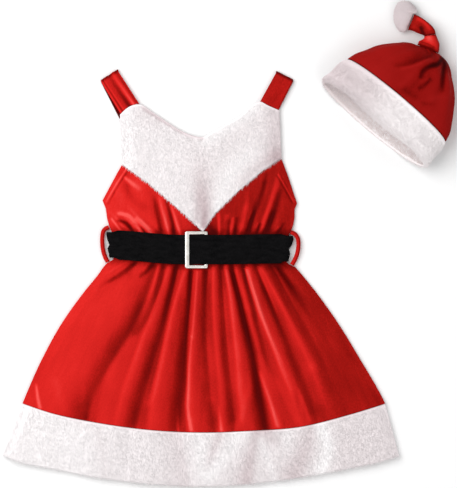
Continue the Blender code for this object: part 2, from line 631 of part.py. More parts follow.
def build_strap(strap):
    """One strip: up from the bib, over the shoulder fold, and down behind to the back bodice."""
    across = np.linspace(0, 1, STRAP_COLUMNS)
    fold_x = strap.outer_x + (strap.inner_x - strap.outer_x) * across
    fold_y = strap.outer_y + (strap.inner_y - strap.outer_y) * across
    seam_x = strap.seam_outer + (strap.seam_inner - strap.seam_outer) * across
    seam_y = straight(BIB_TOP, seam_x) + SLANT_SEAM
    half_width = abs(strap.inner_x - strap.outer_x) / 2
    back_x = strap.back_x + np.sign(strap.inner_x - strap.outer_x) * half_width * (2 * across - 1)
    radius = (STRAP + STRAP_GAP) / 2
    high = STRAP / 2 + 2 * radius
    reach = radius + STRAP / 2
    seam_z = front_under(seam_x, seam_y) + STRAP / 2
    turn_y = fold_y - reach
    rows = []
    for t in np.linspace(0, 1, STRAP_STEPS[0]):
        x = seam_x + (fold_x - seam_x) * t
        y = seam_y + (turn_y - seam_y) * t
        rows.append(on_dress(x, y, seam_z + (high - seam_z) * t))
    for turn in np.linspace(0, pi, STRAP_STEPS[1])[1:-1]:
        z = STRAP / 2 + radius + radius * cos(turn)
        rows.append(on_dress(fold_x, turn_y + radius * sin(turn), z))
    for t in np.linspace(0, 1, STRAP_STEPS[2]):
        x = fold_x + (back_x - fold_x) * t
        y = turn_y + (BACK_TOP + SLANT_SEAM - turn_y) * t
        rows.append(on_dress(x, y, STRAP / 2))
    middle = np.array(rows)
    normal = np.cross(np.gradient(middle, axis=0), np.gradient(middle, axis=1))
    normal /= np.linalg.norm(normal, axis=-1, keepdims=True)
    if normal[0, 0, 2] < 0:
        normal = -normal
    half = STRAP / 2 * (1 - STRAP_GROOVE * np.cos(2 * pi * across) ** 8)[:, None]
    wall(strap.name, middle + normal * half, middle - normal * STRAP / 2, RED)


def belt_rows(x, z, lean):
    """Belt strip over a path in the x-z plane. The lean tucks in the lower part of its ends."""
    across = np.linspace(-1, 1, BELT_COLUMNS)
    tuck = BELT_TUCK * smooth(1 - across)
    px = x[:, None] - np.sign(x)[:, None] * lean[:, None] * tuck
    half = (BELT_WIDTH - BELT_NARROW * lean[:, None]) / 2
    py = belt_middle(x)[:, None] + across * half
    return px, py, z[:, None] + 0 * across


def belt_top():
    """Places of the belt's visible run: under the buckle's left bar, up, and over its right bar."""
    left_bar = BUCKLE_CENTRE[0] - BUCKLE_SIZE[0] / 2
    right_bar = BUCKLE_CENTRE[0] + BUCKLE_SIZE[0] / 2 - BUCKLE_BAR
    past = right_bar + BUCKLE_BAR + BELT_DOWN
    over = BUCKLE_RIGHT_Z + BUCKLE_THICK / 2 + BELT_OVER_BAR - BELT_UNDER
    x = np.concatenate([
        np.linspace(-BELT_END, left_bar - BELT_NEAR, BELT_RUN_ROWS[0]),
        np.linspace(left_bar + BELT_RISE_FROM, past - BELT_DOWN_END, BELT_RUN_ROWS[1]),
        np.linspace(past + BELT_NEAR + BELT_NEAR / 2, BELT_END, BELT_RUN_ROWS[2]),
    ])
    rise_from = left_bar + BUCKLE_LEFT_BAR + BELT_RISE_FROM
    rise = smooth((x - rise_from) / (right_bar - left_bar - BELT_RISE_SHORT))
    fall = smooth((x - right_bar - BUCKLE_BAR - BELT_RISE_FROM) / BELT_DOWN)
    return x, BELT_UNDER + BELT / 2 + over * (rise - fall)


def build_belt():
    """The strip turns under the dress at both sides, where its ends meet the back strip."""
    flat, middle_z = belt_top()
    end_z = BELT_UNDER + BELT / 2
    turns = np.linspace(0, pi, BELT_TURN_ROWS)[1:-1]
    reach = BELT_END + BELT_TURN * np.sin(turns)
    turn_z = (end_z + BELT / 2) / 2 + (end_z - BELT / 2) / 2 * np.cos(turns)
    tab = np.linspace(BELT_END, BELT_TAB, BELT_TAB_ROWS)
    floor = np.full(BELT_TAB_ROWS, BELT / 2)
    x = np.concatenate([-tab[::-1], -reach[::-1], flat, reach, tab])
    z = np.concatenate([floor, turn_z[::-1], middle_z, turn_z, floor])
    lean = smooth((abs(x) - BELT_TAB) / (BELT_END - BELT_TAB))
    middle = np.stack(belt_rows(x, z, lean), axis=-1)
    normal = np.cross(np.gradient(middle, axis=0), np.gradient(middle, axis=1))
    normal /= np.linalg.norm(normal, axis=-1, keepdims=True)
    outer, inner = middle + normal * BELT / 2, middle - normal * BELT / 2
    wall("belt_front", on_dress(*np.moveaxis(outer, -1, 0)), on_dress(*np.moveaxis(inner, -1, 0)), BLACK)

    x = np.linspace(-BELT_TAB + SEAM, BELT_TAB - SEAM, BELT_BACK_ROWS)
    px, py, pz = belt_rows(x, 0 * x, 0 * x)
    wall("belt_back", on_dress(px, py, pz + BELT), on_dress(px, py, pz), BLACK)


def corner_loop(width, height, radius, centre, steps=4):
    """Points round a rectangle with rounded corners."""
    points = []
    for turn, sx, sy in ((0, 1, 1), (1, -1, 1), (2, -1, -1), (3, 1, -1)):
        for k in range(steps):
            angle = pi / 2 * (turn + k / (steps - 1))
            points.append((
                centre[0] + sx * (width / 2 - radius) + radius * cos(angle),
                centre[1] + sy * (height / 2 - radius) + radius * sin(angle),
            ))
    return np.array(points)


def build_buckle():
    """A rectangular slide, leaning down to the right, with rounded bars."""
    width, height = BUCKLE_SIZE
    outer = corner_loop(width, height, BUCKLE_CORNER, BUCKLE_CENTRE)
    inner_middle = (BUCKLE_CENTRE[0] + (BUCKLE_LEFT_BAR - BUCKLE_BAR) / 2, BUCKLE_CENTRE[1])
    inner_width = width - BUCKLE_LEFT_BAR - BUCKLE_BAR
    inner = corner_loop(inner_width, height - 2 * BUCKLE_BAR, BUCKLE_INNER_CORNER, inner_middle)
    sections = []
    for corner in BUCKLE_SECTION:
        flat = outer + (inner - outer) * corner.across
        lean = (flat[:, 0] - BUCKLE_CENTRE[0]) / width + 0.5
        z = BUCKLE_LEFT_Z + (BUCKLE_RIGHT_Z - BUCKLE_LEFT_Z) * lean + corner.up * BUCKLE_THICK / 2
        sections.append(on_dress(flat[:, 0], flat[:, 1], z))
    rings = np.array(sections).swapaxes(0, 1)
    tube("buckle", rings, SILVER, METAL_ROUGHNESS, METAL, closed=True)


def strip_along(name, line, half_widths, half_thick, colour, place):
    """A soft strip of oval section along a line of points, wide in plan."""
    centre = np.array(line, float)
    ahead = np.gradient(centre, axis=0)
    ahead /= np.linalg.norm(ahead, axis=1, keepdims=True)
    wide = np.cross(ahead, (0, 0, 1))
    wide /= np.linalg.norm(wide, axis=1, keepdims=True)
    up = np.cross(wide, ahead)
    rings = []
    for angle in (np.arange(STRIP_SIDES) + 0.5) * 2 * pi / STRIP_SIDES:
        side = np.sign(cos(angle)) * abs(cos(angle)) ** STRIP_FULL * np.array(half_widths)
        rings.append(centre + wide * side[..., None] + up * sin(angle) * half_thick)
    points = np.array(rings).swapaxes(0, 1)
    return tube(name, place(*np.moveaxis(points, -1, 0)), colour)


def hat_points(rings, thick, pleats=0.0):
    """Points of rings lying on their side, drawn in by the cloth's thickness."""
    angle = np.arange(HAT_SIDES) * 2 * pi / HAT_SIDES
    rows = []
    first, last = rings[0].b, rings[-1].b
    for ring in rings:
        near = smooth((ring.b - first) / (last - first))
        wave = 1 - pleats * near * (1 - near * PLEAT_EASE) * np.cos(CROWN_PLEATS * angle + PLEAT_TURN)
        tall = ring.high - ring.low
        dent = CROWN_DENT * 4 * near * (1 - near) * (pleats > 0)
        below = thick * near**CROWN_TOP * (pleats > 0)
        a = ring.middle + (ring.half * wave - thick) * np.cos(angle)
        rise = tall / 2 + (tall / 2 * wave - thick) * np.sin(angle)
        rise = rise - HAT_SINK * np.maximum(-np.sin(angle), 0) * (ring.low == 0)
        rise = rise - dent * np.maximum(np.sin(angle), 0) ** 4
        z = ring.low + np.maximum(rise, thick if ring.low == 0 else 0)
        b = ring.b + ring.back * (rise / tall - 0.5) + ring.slope * (a - ring.middle) - below
        rows.append(on_hat(a, b, z))
    return np.array(rows)


def build_hat():
    outer, inner = hat_points(BAND_RINGS, 0), hat_points(BAND_RINGS, HAT_PLUSH)
    wall("hat_band", outer, inner, WHITE, closed=True)
    outer = hat_points(CROWN_RINGS, 0, PLEAT_DEPTH)
    inner = hat_points(CROWN_RINGS, VELOUR, PLEAT_DEPTH)
    wall("hat_crown", outer, inner, DARK_RED, closed=True)


def ribbed(name, ribs, sides, colour):
    """A soft solid of oval sections, one for each rib, wide in plan."""
    angle = (np.arange(sides) + 0.5) * 2 * pi / sides
    across = np.sign(np.cos(angle)) * abs(np.cos(angle)) ** STRIP_FULL
    rings = []
    for rib in ribs:
        a = (rib.outer_a + rib.inner_a) / 2 + (rib.outer_a - rib.inner_a) / 2 * across
        b = (rib.outer_b + rib.inner_b) / 2 + (rib.outer_b - rib.inner_b) / 2 * across
        rings.append(on_hat(a, b, rib.z + rib.half_thick * np.sin(angle)))
    return tube(name, np.array(rings), colour)


def build_hat_tip():
    """The plush tip: it wraps the tail's end on one side and is flat where it rests."""
    long_x, long_y = TIP_LONG
    angle = np.arange(TIP_SIDES) * 2 * pi / TIP_SIDES
    rings = []
    for level in TIP_LEVELS:
        half = (level.right - level.left) / 2
        out = level.left + half + half * np.cos(angle)
        up = TIP_HALF_UP * np.sqrt(1 - (level.along / TIP_HALF_LONG) ** 2)
        a = TIP_CENTRE.x + long_x * level.along + long_y * out
        b = TIP_CENTRE.y + long_y * level.along - long_x * out
        rings.append(on_hat(a, b, np.maximum(TIP_CENTRE.z + up * np.sin(angle), 0)))
    tube("hat_tip", np.array(rings), WHITE)


def clear_scene():
    for old in list(bpy.data.objects):
        bpy.data.objects.remove(old)


clear_scene()
build_skirt()
build_bib()
build_bodice()
for each in STRAPS:
    build_strap(each)
build_belt()
build_buckle()
for loop_name, loop_line in LOOPS.items():
    widths = [LOOP_WIDTH / 2] * len(loop_line)
    strip_along(loop_name, loop_line, widths, LOOP_THICK / 2, RED, on_dress)
build_hat()
ribbed("hat_knot", KNOT_RIBS, KNOT_SIDES, RED)
ribbed("hat_tail", TAIL_RIBS, STRIP_SIDES, RED)
build_hat_tip()
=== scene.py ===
"""The looks of a baby Santa dress with its belt and hat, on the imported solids."""
from collections import namedtuple
from math import cos, pi, radians, sin

import bmesh
import bpy
import numpy as np
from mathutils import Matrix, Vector


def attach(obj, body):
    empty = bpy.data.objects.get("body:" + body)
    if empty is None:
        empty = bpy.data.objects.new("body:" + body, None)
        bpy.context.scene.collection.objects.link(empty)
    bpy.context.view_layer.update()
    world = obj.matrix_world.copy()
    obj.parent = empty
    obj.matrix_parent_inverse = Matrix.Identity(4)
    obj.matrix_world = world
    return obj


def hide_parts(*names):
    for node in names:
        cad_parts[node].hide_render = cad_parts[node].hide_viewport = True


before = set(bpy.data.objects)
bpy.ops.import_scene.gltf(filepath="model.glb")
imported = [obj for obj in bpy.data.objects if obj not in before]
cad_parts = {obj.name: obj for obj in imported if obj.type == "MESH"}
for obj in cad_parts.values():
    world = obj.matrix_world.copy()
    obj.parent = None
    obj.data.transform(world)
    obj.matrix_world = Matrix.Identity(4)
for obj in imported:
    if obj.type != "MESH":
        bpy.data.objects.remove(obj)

# ---- Sizes, in millimetres, as in the part's source ----

MM = 0.001
# Driving sizes: walls of cloth and the clearances between pieces
VELOUR = 1.4
PLUSH = 3.0
STRAP = 2.2
BELT = 1.7
HAT_PLUSH = 4.0
SEAM = 0.3
PLY = 0.5

# Driving sizes: places of the dress and the hat in the set
DRESS_AT = (-31.4, -1.5)
HAT_AT = (158.7, 132.5)
HAT_TURN = radians(-40)

# Driving sizes: belt and buckle
BELT_WIDTH = 32.4
BELT_NARROW = 4.0
BELT_UNDER = 7.9
BELT_END = 97.0
BELT_TURN = 4.3

BELT_TAB = 88.0
BUCKLE_CENTRE = (-3.9, -4.9)
BUCKLE_SIZE = (25.0, 40.8)
BUCKLE_THICK = 2.0
BUCKLE_LEFT_BAR = 4.8
BUCKLE_BAR = 3.5
BUCKLE_CORNER = 2.0
BUCKLE_INNER_CORNER = 0.8
BUCKLE_LEFT_Z = 11.2
BUCKLE_RIGHT_Z = 8.95
BELT_RISE_FROM = 1.0
BELT_RISE_SHORT = 7.0
BELT_DOWN = 13.0

BELT_LEFT_Y = 0.6
BELT_DROP = 5.2
BELT_DROP_FROM = -100
BELT_REGAIN = 1.0
BELT_REGAIN_FROM = 20
BELT_SLOPE_RUN = 80


def named(kind, *table):
    """Named rows from plain ones."""
    return [kind(*row) for row in table]


# Side edges of the laid-out dress from the chest to the lower hem
Side = namedtuple("Side", "y left right")
SIDES = named(Side,
    (96, -86, 89.5), (88, -86, 92.5), (67, -97.5, 100), (49, -107.2, 105.8), (46, -105.6, 106.8),
    (40, -103.4, 104.1), (30, -102.2, 104.1), (22, -100.1, 102.6), (15, -97.4, 99.5), (8, -94.8, 95.6),
    (0, -94, 94), (-10, -94.2, 94), (-16, -95.4, 94.8), (-18.6, -101.2, 95.6), (-20.5, -103.2, 97.4),
    (-23.5, -106, 104.6), (-31, -111.1, 111.1), (-50, -126.5, 126.5), (-84, -150.9, 150.9),
    (-123, -172.7, 174.9), (-174, -195.3, 203.8), (-231, -217.8, 223.3),
)

# Seam between skirt and hem band, and the hem's lower edge
Edge = namedtuple("Edge", "x y")
HEM_SEAM = named(Edge,
    (-195, -174), (-165, -184), (-110, -195.6), (-55, -203), (0, -205.8), (55, -204), (110, -199.6),
    (165, -186), (203.7, -174.2),
)
HEM_LOW = named(Edge,
    (-217.8, -230.6), (-203, -236.7), (-165, -245), (-110, -255.5), (-55, -262), (0, -264.8), (55, -262),
    (110, -255), (165, -245), (203, -236.5), (219, -231.5),
)

# Outline of the bib: the seam under each strap and the neckline, then the V of its lower edge
BIB_TOP = named(Edge,
    (-87.9, 143.8), (-82, 149.6), (-74, 154.2), (-66, 155), (-51, 145.8), (-37, 136.4), (-21, 126.2),
    (-8, 120.8), (2, 119.2), (16, 126), (32, 134.9), (45, 143), (58, 154.2), (65, 157.8), (76, 153.4),
    (87.2, 148.6),
)
BIB_LOW = named(Edge,
    (-85.8, 89), (-56, 67.8), (-31, 46.4), (-8, 26), (3.3, 14.4), (7, 20.6), (16, 34.8), (40, 58),
    (69, 82.2), (89.5, 96.2),
)
BIB_TIP = 0.508

# Bodice fronts, row by row from the armhole corner to the waist: outer edge, then inner edge
Row = namedtuple("Row", "outer_x outer_y inner_x inner_y")
BODICE_LEFT = named(Row,
    (-86.2, 87.9, -83.6, 86.8), (-91.6, 78.5, -72, 79), (-97.5, 67.5, -57, 68), (-102.6, 58, -43, 57),
    (-107.2, 49.5, -31, 46), (-103.6, 40.5, -19, 36), (-102.2, 30, -8, 26), (-100.1, 22, 0.6, 17),
    (-97.4, 15, 3.1, 11.5), (-94.8, 8, 3.1, 6), (-94, 0.15, 3.1, 0.15),
)
BODICE_RIGHT = named(Row,
    (89.8, 95, 87, 93.2), (94, 84, 74, 85.5), (98.4, 72, 58, 73), (102.5, 59, 46, 63),
    (106.8, 46.2, 33, 51), (104.1, 39.6, 22, 40.5), (104.1, 29.7, 13, 29.8), (102.4, 21.5, 6.4, 18.5),
    (99.5, 14.5, 3.5, 11.5), (95.4, 7.5, 3.5, 6), (94, 0.15, 3.5, 0.15),
)
BACK_BODICE = named(Side,
    (105.6, -77, 69.3), (97, -80.2, 80), (88, -84.6, 87.8), (76, -90.8, 93.4), (62, -98.2, 99),
    (48.5, -104.9, 104.6), (40, -101.9, 102.4), (30, -100.8, 102.2), (22, -98.7, 100.8), (15, -96, 97.8),
    (8, -93.4, 94), (0.15, -92.6, 92.6),
)
BACK_INSET = 1.4

# Long folds of the skirt: x of the fold line at four levels, height at the belt and at the hem,
# spread at the belt and at the hem. A negative height is a trough.
FOLD_LEVELS = (-20, -80, -150, -260)
Fold = namedtuple("Fold", "belt upper lower hem high_belt high_hem wide_belt wide_hem")
SKIRT_FOLDS = named(Fold,
    (-50, -72, -114, -134, -2, -4.2, 5, 15), (-33, -54.5, -79.5, -97, 2.1, 1.6, 3.2, 8.5),
    (-25, -39.5, -60, -86, -2.4, -2.4, 2.6, 7), (-14.5, -32, -46.5, -62, 2.2, 1.8, 3, 8),
    (-8, -14.5, -21, -26, -3.4, -4, 3, 8), (-2.2, -6.5, -11, -2, 3.1, 3, 2.4, 6),
    (8.5, 4.4, 7.7, 15, -2.2, -1.6, 3, 7), (15, 15.6, 22, 29, 1.8, 1.2, 2.4, 6),
    (21.5, 25.3, 31, 41, -2.4, -2.6, 2.3, 6), (27.5, 36.5, 43.5, 57, 2.3, 1.8, 2.6, 7.5),
    (33.5, 48, 62, 80, -3.2, -4, 3, 8), (52.8, 69, 96, 122, 3, 1.6, 2.7, 8.5),
    (58.5, 83, 111, 146, -2.4, -0.8, 3.6, 10), (65, 97, 130, 166, 1.6, 0.3, 2.8, 9),
    (75, 109, 143, 184, -1.8, -0.2, 3.2, 11),
)
BACK_FOLDS = named(Fold,
    (-66, -96, -124, -150, 1.6, 1, 3.5, 10), (-43, -63, -86, -110, 2, 1.6, 3.2, 9),
    (-21, -31, -46, -60, 1.8, 1.4, 3, 8), (-2, -4, -2, -6, 2, 1.8, 3, 8),
    (20, 32, 42, 58, 1.8, 1.5, 3, 8), (44, 66, 91, 118, 2, 1.6, 3.2, 9),
    (68, 99, 132, 160, 1.6, 1, 3.5, 10),
)

# Short gathers: from (start_x, start_y) beside the belt to (end_x, end_y), where they fade
Gather = namedtuple("Gather", "start_x start_y end_x end_y high wide")
SKIRT_GATHERS = named(Gather,
    (-66, -16, -108, -46, -1.6, 3), (-45, -20, -53, -54, 1.2, 2.6), (-40, -20, -52, -64, -1.3, 2.4),
    (39, -20, 67, -128, 1.4, 2.6), (45, -20, 74, -132, -1.5, 2.6), (84, -24, 112, -90, 1, 3.4),
    (88, -26, 130, -92, -1.2, 3.6), (-84, -20, -104, -32, 0.9, 3), (72, -150, 92, -230, 1.5, 5),
    (50, -175, 34, -225, 1.2, 5),
)
BODICE_GATHERS = named(Gather,
    (-79, 14, -99, 38, 1.4, 3), (-66, 14, -87, 38, 1.5, 3), (-73, 14, -88, 32, -1.2, 2.6),
    (-52, 14, -78, 42, 1.4, 3), (-59, 14, -74, 32, -1, 2.6), (-45, 14, -50, 30, 0.9, 2.6),
    (-40, 14, -50, 62, -1.4, 3.2), (-35, 14, -44, 50, 1.3, 2.6), (-30, 14, -35, 48, -1.3, 2.4),
    (-21, 14, -31, 42, 1.3, 2.6), (22, 14, 21, 36, 1.3, 2.4), (28, 14, 31, 32, -1, 2.4),
    (34, 14, 37, 32, 1.1, 2.4), (40, 14, 44, 34, -1.1, 2.4), (46, 14, 54, 62, 1.2, 2.8),
    (53, 14, 65, 56, -1.4, 2.8), (56, 14, 70, 78, 1.3, 3), (64, 14, 79, 70, -0.9, 3),
    (67, 14, 88, 84, 1.3, 3.2), (73, 14, 86, 62, -1.4, 3), (82, 14, 88, 34, 0.8, 3),
)
BACK_BODICE_GATHERS = named(Gather,
    (-70, 14, -82, 44, 1.5, 3.2), (-46, 14, -52, 58, 1.7, 3.2), (-22, 14, -25, 50, 1.5, 3),
    (1, 14, 0, 60, 1.7, 3), (24, 14, 27, 48, 1.5, 3), (48, 14, 54, 60, 1.7, 3.2),
    (71, 14, 82, 46, 1.5, 3.2),
)
GATHER_SLANT = (-0.4, 1.2)
GATHER_FADE = (0.55, 1.15)
FOLD_START = -8.0
WAIST_BLEND = 4.0

# What the belt does to the cloth under it: share of a fold left, and the fade beside it
PRESSED = 0.2
PRESS_FADE = 3.5
BELT_LIFT = 2.1
BELT_LIFT_FADE = 14.0
BELT_LIFT_FROM = 1.5

# The back lies flat under the bib, and elsewhere only folds above this height lift it
BACK_FLAT_FROM = 60.0
BACK_FLAT_FADE = 30.0
BACK_LEAST = 0.35
STRAP_FROM = 97.0
STRAP_BLEND = 8.0
HEM_BLEND = 12.0

# Height of the front panel's upper face along the middle, and how it falls at the sides
Height = namedtuple("Height", "y z")
FRONT_HEIGHTS = named(Height,
    (-265, 6.2), (-200, 7.8), (-110, 8.2), (-48, 7.6), (-22, 6.7), (0, 6.7), (20, 6.7), (60, 6.4),
    (100, 5.2), (160, 4.6),
)
SIDE_FALL = 13.0
SIDE_Z = 3.3

# Straps: the shoulder line, the seam on the bib, and where the strap meets the back bodice
Strap = namedtuple("Strap", "name outer_x outer_y inner_x inner_y seam_outer seam_inner back_x")
STRAPS = named(Strap,
    ("strap_left", -108.9, 182, -89.9, 194.2, -87.4, -66.6, -62),
    ("strap_right", 102.5, 182.6, 83.6, 192.2, 86.8, 66.2, 55),
)
BACK_TOP = 105.6
STRAP_GAP = 0.6
STRAP_SEAM = 1.3 * SEAM

# Belt loops: the middle line of each, from the bodice side to the skirt side
LOOP_WIDTH = 4.8
LOOP_THICK = 2.0
Knot = namedtuple("Knot", "x y z")
LOOPS = {
    "belt_loop_left": named(Knot,
        (-99.95, 19.9, 3.4), (-104.0, 18.2, 3.6), (-106.6, 14.4, 4.0),
        (-107.4, 7.0, 4.4), (-107.1, -1.0, 4.4), (-105.9, -7.6, 4.0),
        (-104.2, -12.8, 3.6), (-101.4, -18.2, 3.4),
    ),
    "belt_loop_right": named(Knot,
        (99.8, 14.6, 3.4), (104.6, 12.2, 3.6), (107.6, 7.4, 4.0),
        (108.3, 1.6, 4.4), (107.8, -5.4, 4.4), (106.2, -11.4, 4.0),
        (103.8, -16.8, 3.6), (101.0, -21.4, 3.4),
    ),
}

# Hat: rings from the brim to the knot, with the middle and half width along a, the lowest and
# highest z, how far the top of the ring is set back from its bottom, and its slope along a
Ring = namedtuple("Ring", "b middle half low high back slope", defaults=[0.0])
BAND_RINGS = named(Ring,
    (0, 1, 73, 0, 47, 17.5), (3, 1.2, 75, 0, 50, 17.3), (14, 2, 74, 0, 52, 16.2),
    (33.5, 3.2, 72, 0, 53, 13.8), (36, 3.4, 70.6, 0, 52, 13.5),
)
CROWN_RINGS = named(Ring,
    (36.4, 3.6, 70.6, 0, 51.5, 13.5), (46, 3.9, 67.8, 0, 53, 12), (57, 4.1, 61.7, 0, 53, 10),
    (68, 3.6, 55.3, 0, 52, 8), (78, 4.3, 47.7, 0, 49, 6), (86.5, 3.1, 39.2, 1, 45, 4, 0.03),
    (93, 1.6, 31.8, 3, 39, 2, 0.06), (98, 2, 24.8, 5.5, 33, 1, 0.1), (100.6, -1, 18.4, 7, 28, 0.5, 0.22),
    (101.3, -6.2, 11.9, 8, 25.5, 0, 0.33),
)
HAT_SINK = 3.0
CROWN_PLEATS = 13
PLEAT_DEPTH = 0.08
PLEAT_EASE = 0.6
PLEAT_TURN = 0.6
CROWN_DENT = 4.0
CROWN_TOP = 3

# Knotted neck of the crown, then the tail: ribs across the cloth, each from its outer side to its
# inner side, with the height of its middle and half its thickness
Rib = namedtuple("Rib", "outer_a outer_b inner_a inner_b z half_thick")
KNOT_RIBS = named(Rib,
    (5.55, 105.36, -18.05, 97.56, 16.75, 8.75), (4.6, 107.4, -18.9, 100.2, 17, 9.8),
    (3.4, 109.6, -19.3, 102.2, 17.2, 10.3), (-0.2, 114, -18.2, 104.6, 17, 9.6),
    (-5.6, 117.2, -17.2, 107.4, 16.4, 7.8), (-9.91, 119.39, -18.31, 109.69, 15.4, 5.6),
)
TAIL_RIBS = named(Rib,
    (-9.99, 119.51, -18.39, 109.81, 15.2, 5), (-14.2, 122.6, -19.4, 110, 14.6, 4.6),
    (-20.5, 124, -21.2, 109.5, 13.4, 4.2), (-28.6, 124, -26.5, 107.6, 11.4, 4),
    (-36, 123.2, -32.2, 106, 9.6, 4), (-42.2, 121.6, -36.5, 103.6, 8.2, 4),
)

# Plush tip at the tail's end: places of its sides on levels along its length
Level = namedtuple("Level", "along left right")
TIP_LEVELS = named(Level,
    (-18.2, -0.6, 4.4), (-15.5, -4.6, 5.9), (-11, -8.4, 6.6), (-6.5, -10.7, 7.2), (-2.5, -12, 7.7),
    (1.5, -12.7, 8.2), (4.9, -12.6, 8.6), (5.3, -12.6, 11.7), (9.4, -11.7, 11.4), (12.4, -10.3, 8.2),
    (14.8, -7.4, 3.4), (16.1, -4.6, 0),
)
TIP_CENTRE = Knot(-48.5, 113.5, 7.4)
TIP_LONG = (-0.424, 0.906)
TIP_HALF_LONG = 18.9
TIP_HALF_UP = 8.1
STRIP_FULL = 0.6

# ---- Sizes of the looks ----

# Grooves along each strap with lines of painted light and shade: place across it, width, depth, and
# painted tone at the shoulder and at the seam
StrapLine = namedtuple("StrapLine", "across wide deep top low")
STRAP_LINES = {
    "strap_left": named(StrapLine,
        (0.05, 0.03, 0.1, 0.3, 0.5), (0.12, 0.03, 0.25, -0.3, -0.4),
        (0.19, 0.03, 0.0, 0.2, 0.4), (0.48, 0.10, 0.35, -0.15, -0.6),
        (0.70, 0.08, -0.2, 0.3, 0.9), (0.90, 0.05, 0.2, -0.25, -0.3),
    ),
    "strap_right": named(StrapLine,
        (0.5, 0.6, 0.1, -0.2, -0.16), (0.04, 0.04, 0.1, -0.3, -0.2),
        (0.95, 0.04, 0.1, -0.2, -0.1),
    ),
}
# Painted shade of a strap at its shoulder fold and behind it
STRAP_FOLD_SHADE = -0.5
STRAP_BACK_SHADE = -0.7
# Outline of the belt's folded ends: share of the half width, and distance from the middle
BELT_FOLD_LEFT = [
    (-1, 99.0), (-0.72, 99.3), (-0.3, 101.0), (0.0, 98.8), (0.35, 100.9), (0.8, 102.2), (1, 102.0),
]
BELT_FOLD_RIGHT = [
    (-1, 96.6), (-0.75, 97.2), (-0.4, 98.5), (-0.05, 97.1), (0.3, 100.3), (0.7, 102.2), (1, 101.6),
]

# Shares of the bodice's creases in the bib, and of the fine relief that the belt presses away
BIB_CALM = 0.8
FINE_PRESSED = 0.8
# Painted light and shade of the velour: what broad waves, fine relief and the belt's painted shadow add to
# its painted tones
WAVE_SHADE = 4.4
WAVE_PART, RELIEF_PART = 0.65, 0.35
FINE_STEPS, FINE_HIGH = 10, 0.6
FOLD_SHADE = 0.3
FINE_SHADE = 0.12
BELT_SHADE = 0.4
BELT_SHADE_RUN = 9.0
# Flare of the skirt's cloth: half width at the waist, its growth, and the half width of the streaks
WAIST_HALF, FLARE, STREAK_HALF = 94.0, 0.55, 120.0
BACK_RELIEF, BACK_RELIEF_HIGH = 12, 1.6
# One strand of pile: thickness, spread of its length, thickness and way, depth of its foot, and tones:
# painted shade at its root, painted light at its end, random spread
STRAND = 0.22
STRAND_TALL = (0.75, 1.1)
STRAND_THICK = (0.8, 1.25)
STRAND_STRAY = 0.1
STRAND_SUNK = 0.25
STRAND_LEAST_Z = 0.02
STRAND_TURNS = (0.4, 0.4 + 2 * pi / 3, 0.4 + 4 * pi / 3)
ROOT_SHADE = 0.06
END_LIGHT = 0.04
TONE_SPREAD = 0.02
# Clumps of pile: their size, and how they swirl, lean, lengthen and lighten the strands
CLUMP = 3.5
BEND_CLUMP = CLUMP * 1.3
SWIRL = 0.08
LEAN_BEND = 0.08
TALL_BEND = 0.12
TONE_BEND = 0.02
PILE_SOFT = 0.92
# How far the cloth stands back to leave room for its pile
PILE_ROOM = 0.7
BACK_PILE_ROOM = 0.5
BAND_PILE_ROOM = 0.4
MOUTH_PILE_ROOM = 0.6
TIP_PILE_ROOM = 0.5
# The knot's end reaches into the crown's neck; the crown's sides get painted shade, its pleat waves and
# fine creases painted light and shade
KNOT_TONGUE = 1.5
TONGUE_INSET = 0.22
CROWN_EDGE_SHADE, CROWN_EDGE_SHADE_WIDE = 0.35, 0.3
CROWN_WAVE, CROWN_FINE = 0.12, 0.1
# Painted light and shade of the knot and the tail: on fine creases, painted shade at the outer edge and
# its width, and on the under side
RIB_FINE, RIB_EDGE, RIB_EDGE_WIDE, RIB_UNDER = 0.2, 0.4, 0.12, 0.4
# Groove of a belt loop: depth, place and width across it, and how much painted shade darkens it
LOOP_GROOVE, GROOVE_AT, GROOVE_WIDE, GROOVE_SHADE = 0.35, -0.45, 0.16, 2.2
# Tones of the plush, the ground's a little darker as painted shade under the pile, and its darkest and
# lightest colour
PLUSH_TONE = 0.79
GROUND_TONE = 0.75
PLUSH_WHITES = (0.52, 0.38, 0.40), (1.0, 0.97, 0.975)
HAT_WHITES = (0.54, 0.42, 0.44), (1.0, 0.945, 0.95)
# The mouth's inside gets darker, pinker whites as painted shade
INNER_WHITES = (0.62, 0.49, 0.48), (1.0, 0.90, 0.885)
# The skirt starts here. Its folds are steep on one side, and calmer towards the hem
SKIRT_FROM = -23.5
FOLD_STEEP = 0.65
FOLD_GENTLE = 1.5
HEM_CALM = 0.55
HEM_CALM_FROM = -188.0
HEM_CALM_RUN = 34.0
UP = (0.0, 0.0, 1.0)
# Soft unevenness of the cloth: height and width of the bumps, how far they are drawn out down the
# cloth, and the seed
Bumps = namedtuple("Bumps", "high size draw seed")
CRUMPLE = named(Bumps, (0.22, 15.0, 0.45, 5), (0.4 * 0.22, 15.0 / 2.6, 0.4, 6))
HEM_BUMPS = named(Bumps, (0.02, 2.0, 0.4, 11), (0.06, 8, 1, 12))
BIB_BUMPS = named(Bumps, (0.02, 2.0, 0.4, 31), (0.06, 8, 1, 32))
BELT_BUMPS = named(Bumps, (0.16, 11, 0.6, 51))
BAND_BUMPS = named(Bumps, (0.08, 3.4, 1, 61), (0.2, 8, 1, 62))
CROWN_BUMPS = named(Bumps, (0.3, 9, 1, 71))
TIP_BUMPS = named(Bumps, (0.25, 3, 1, 81))
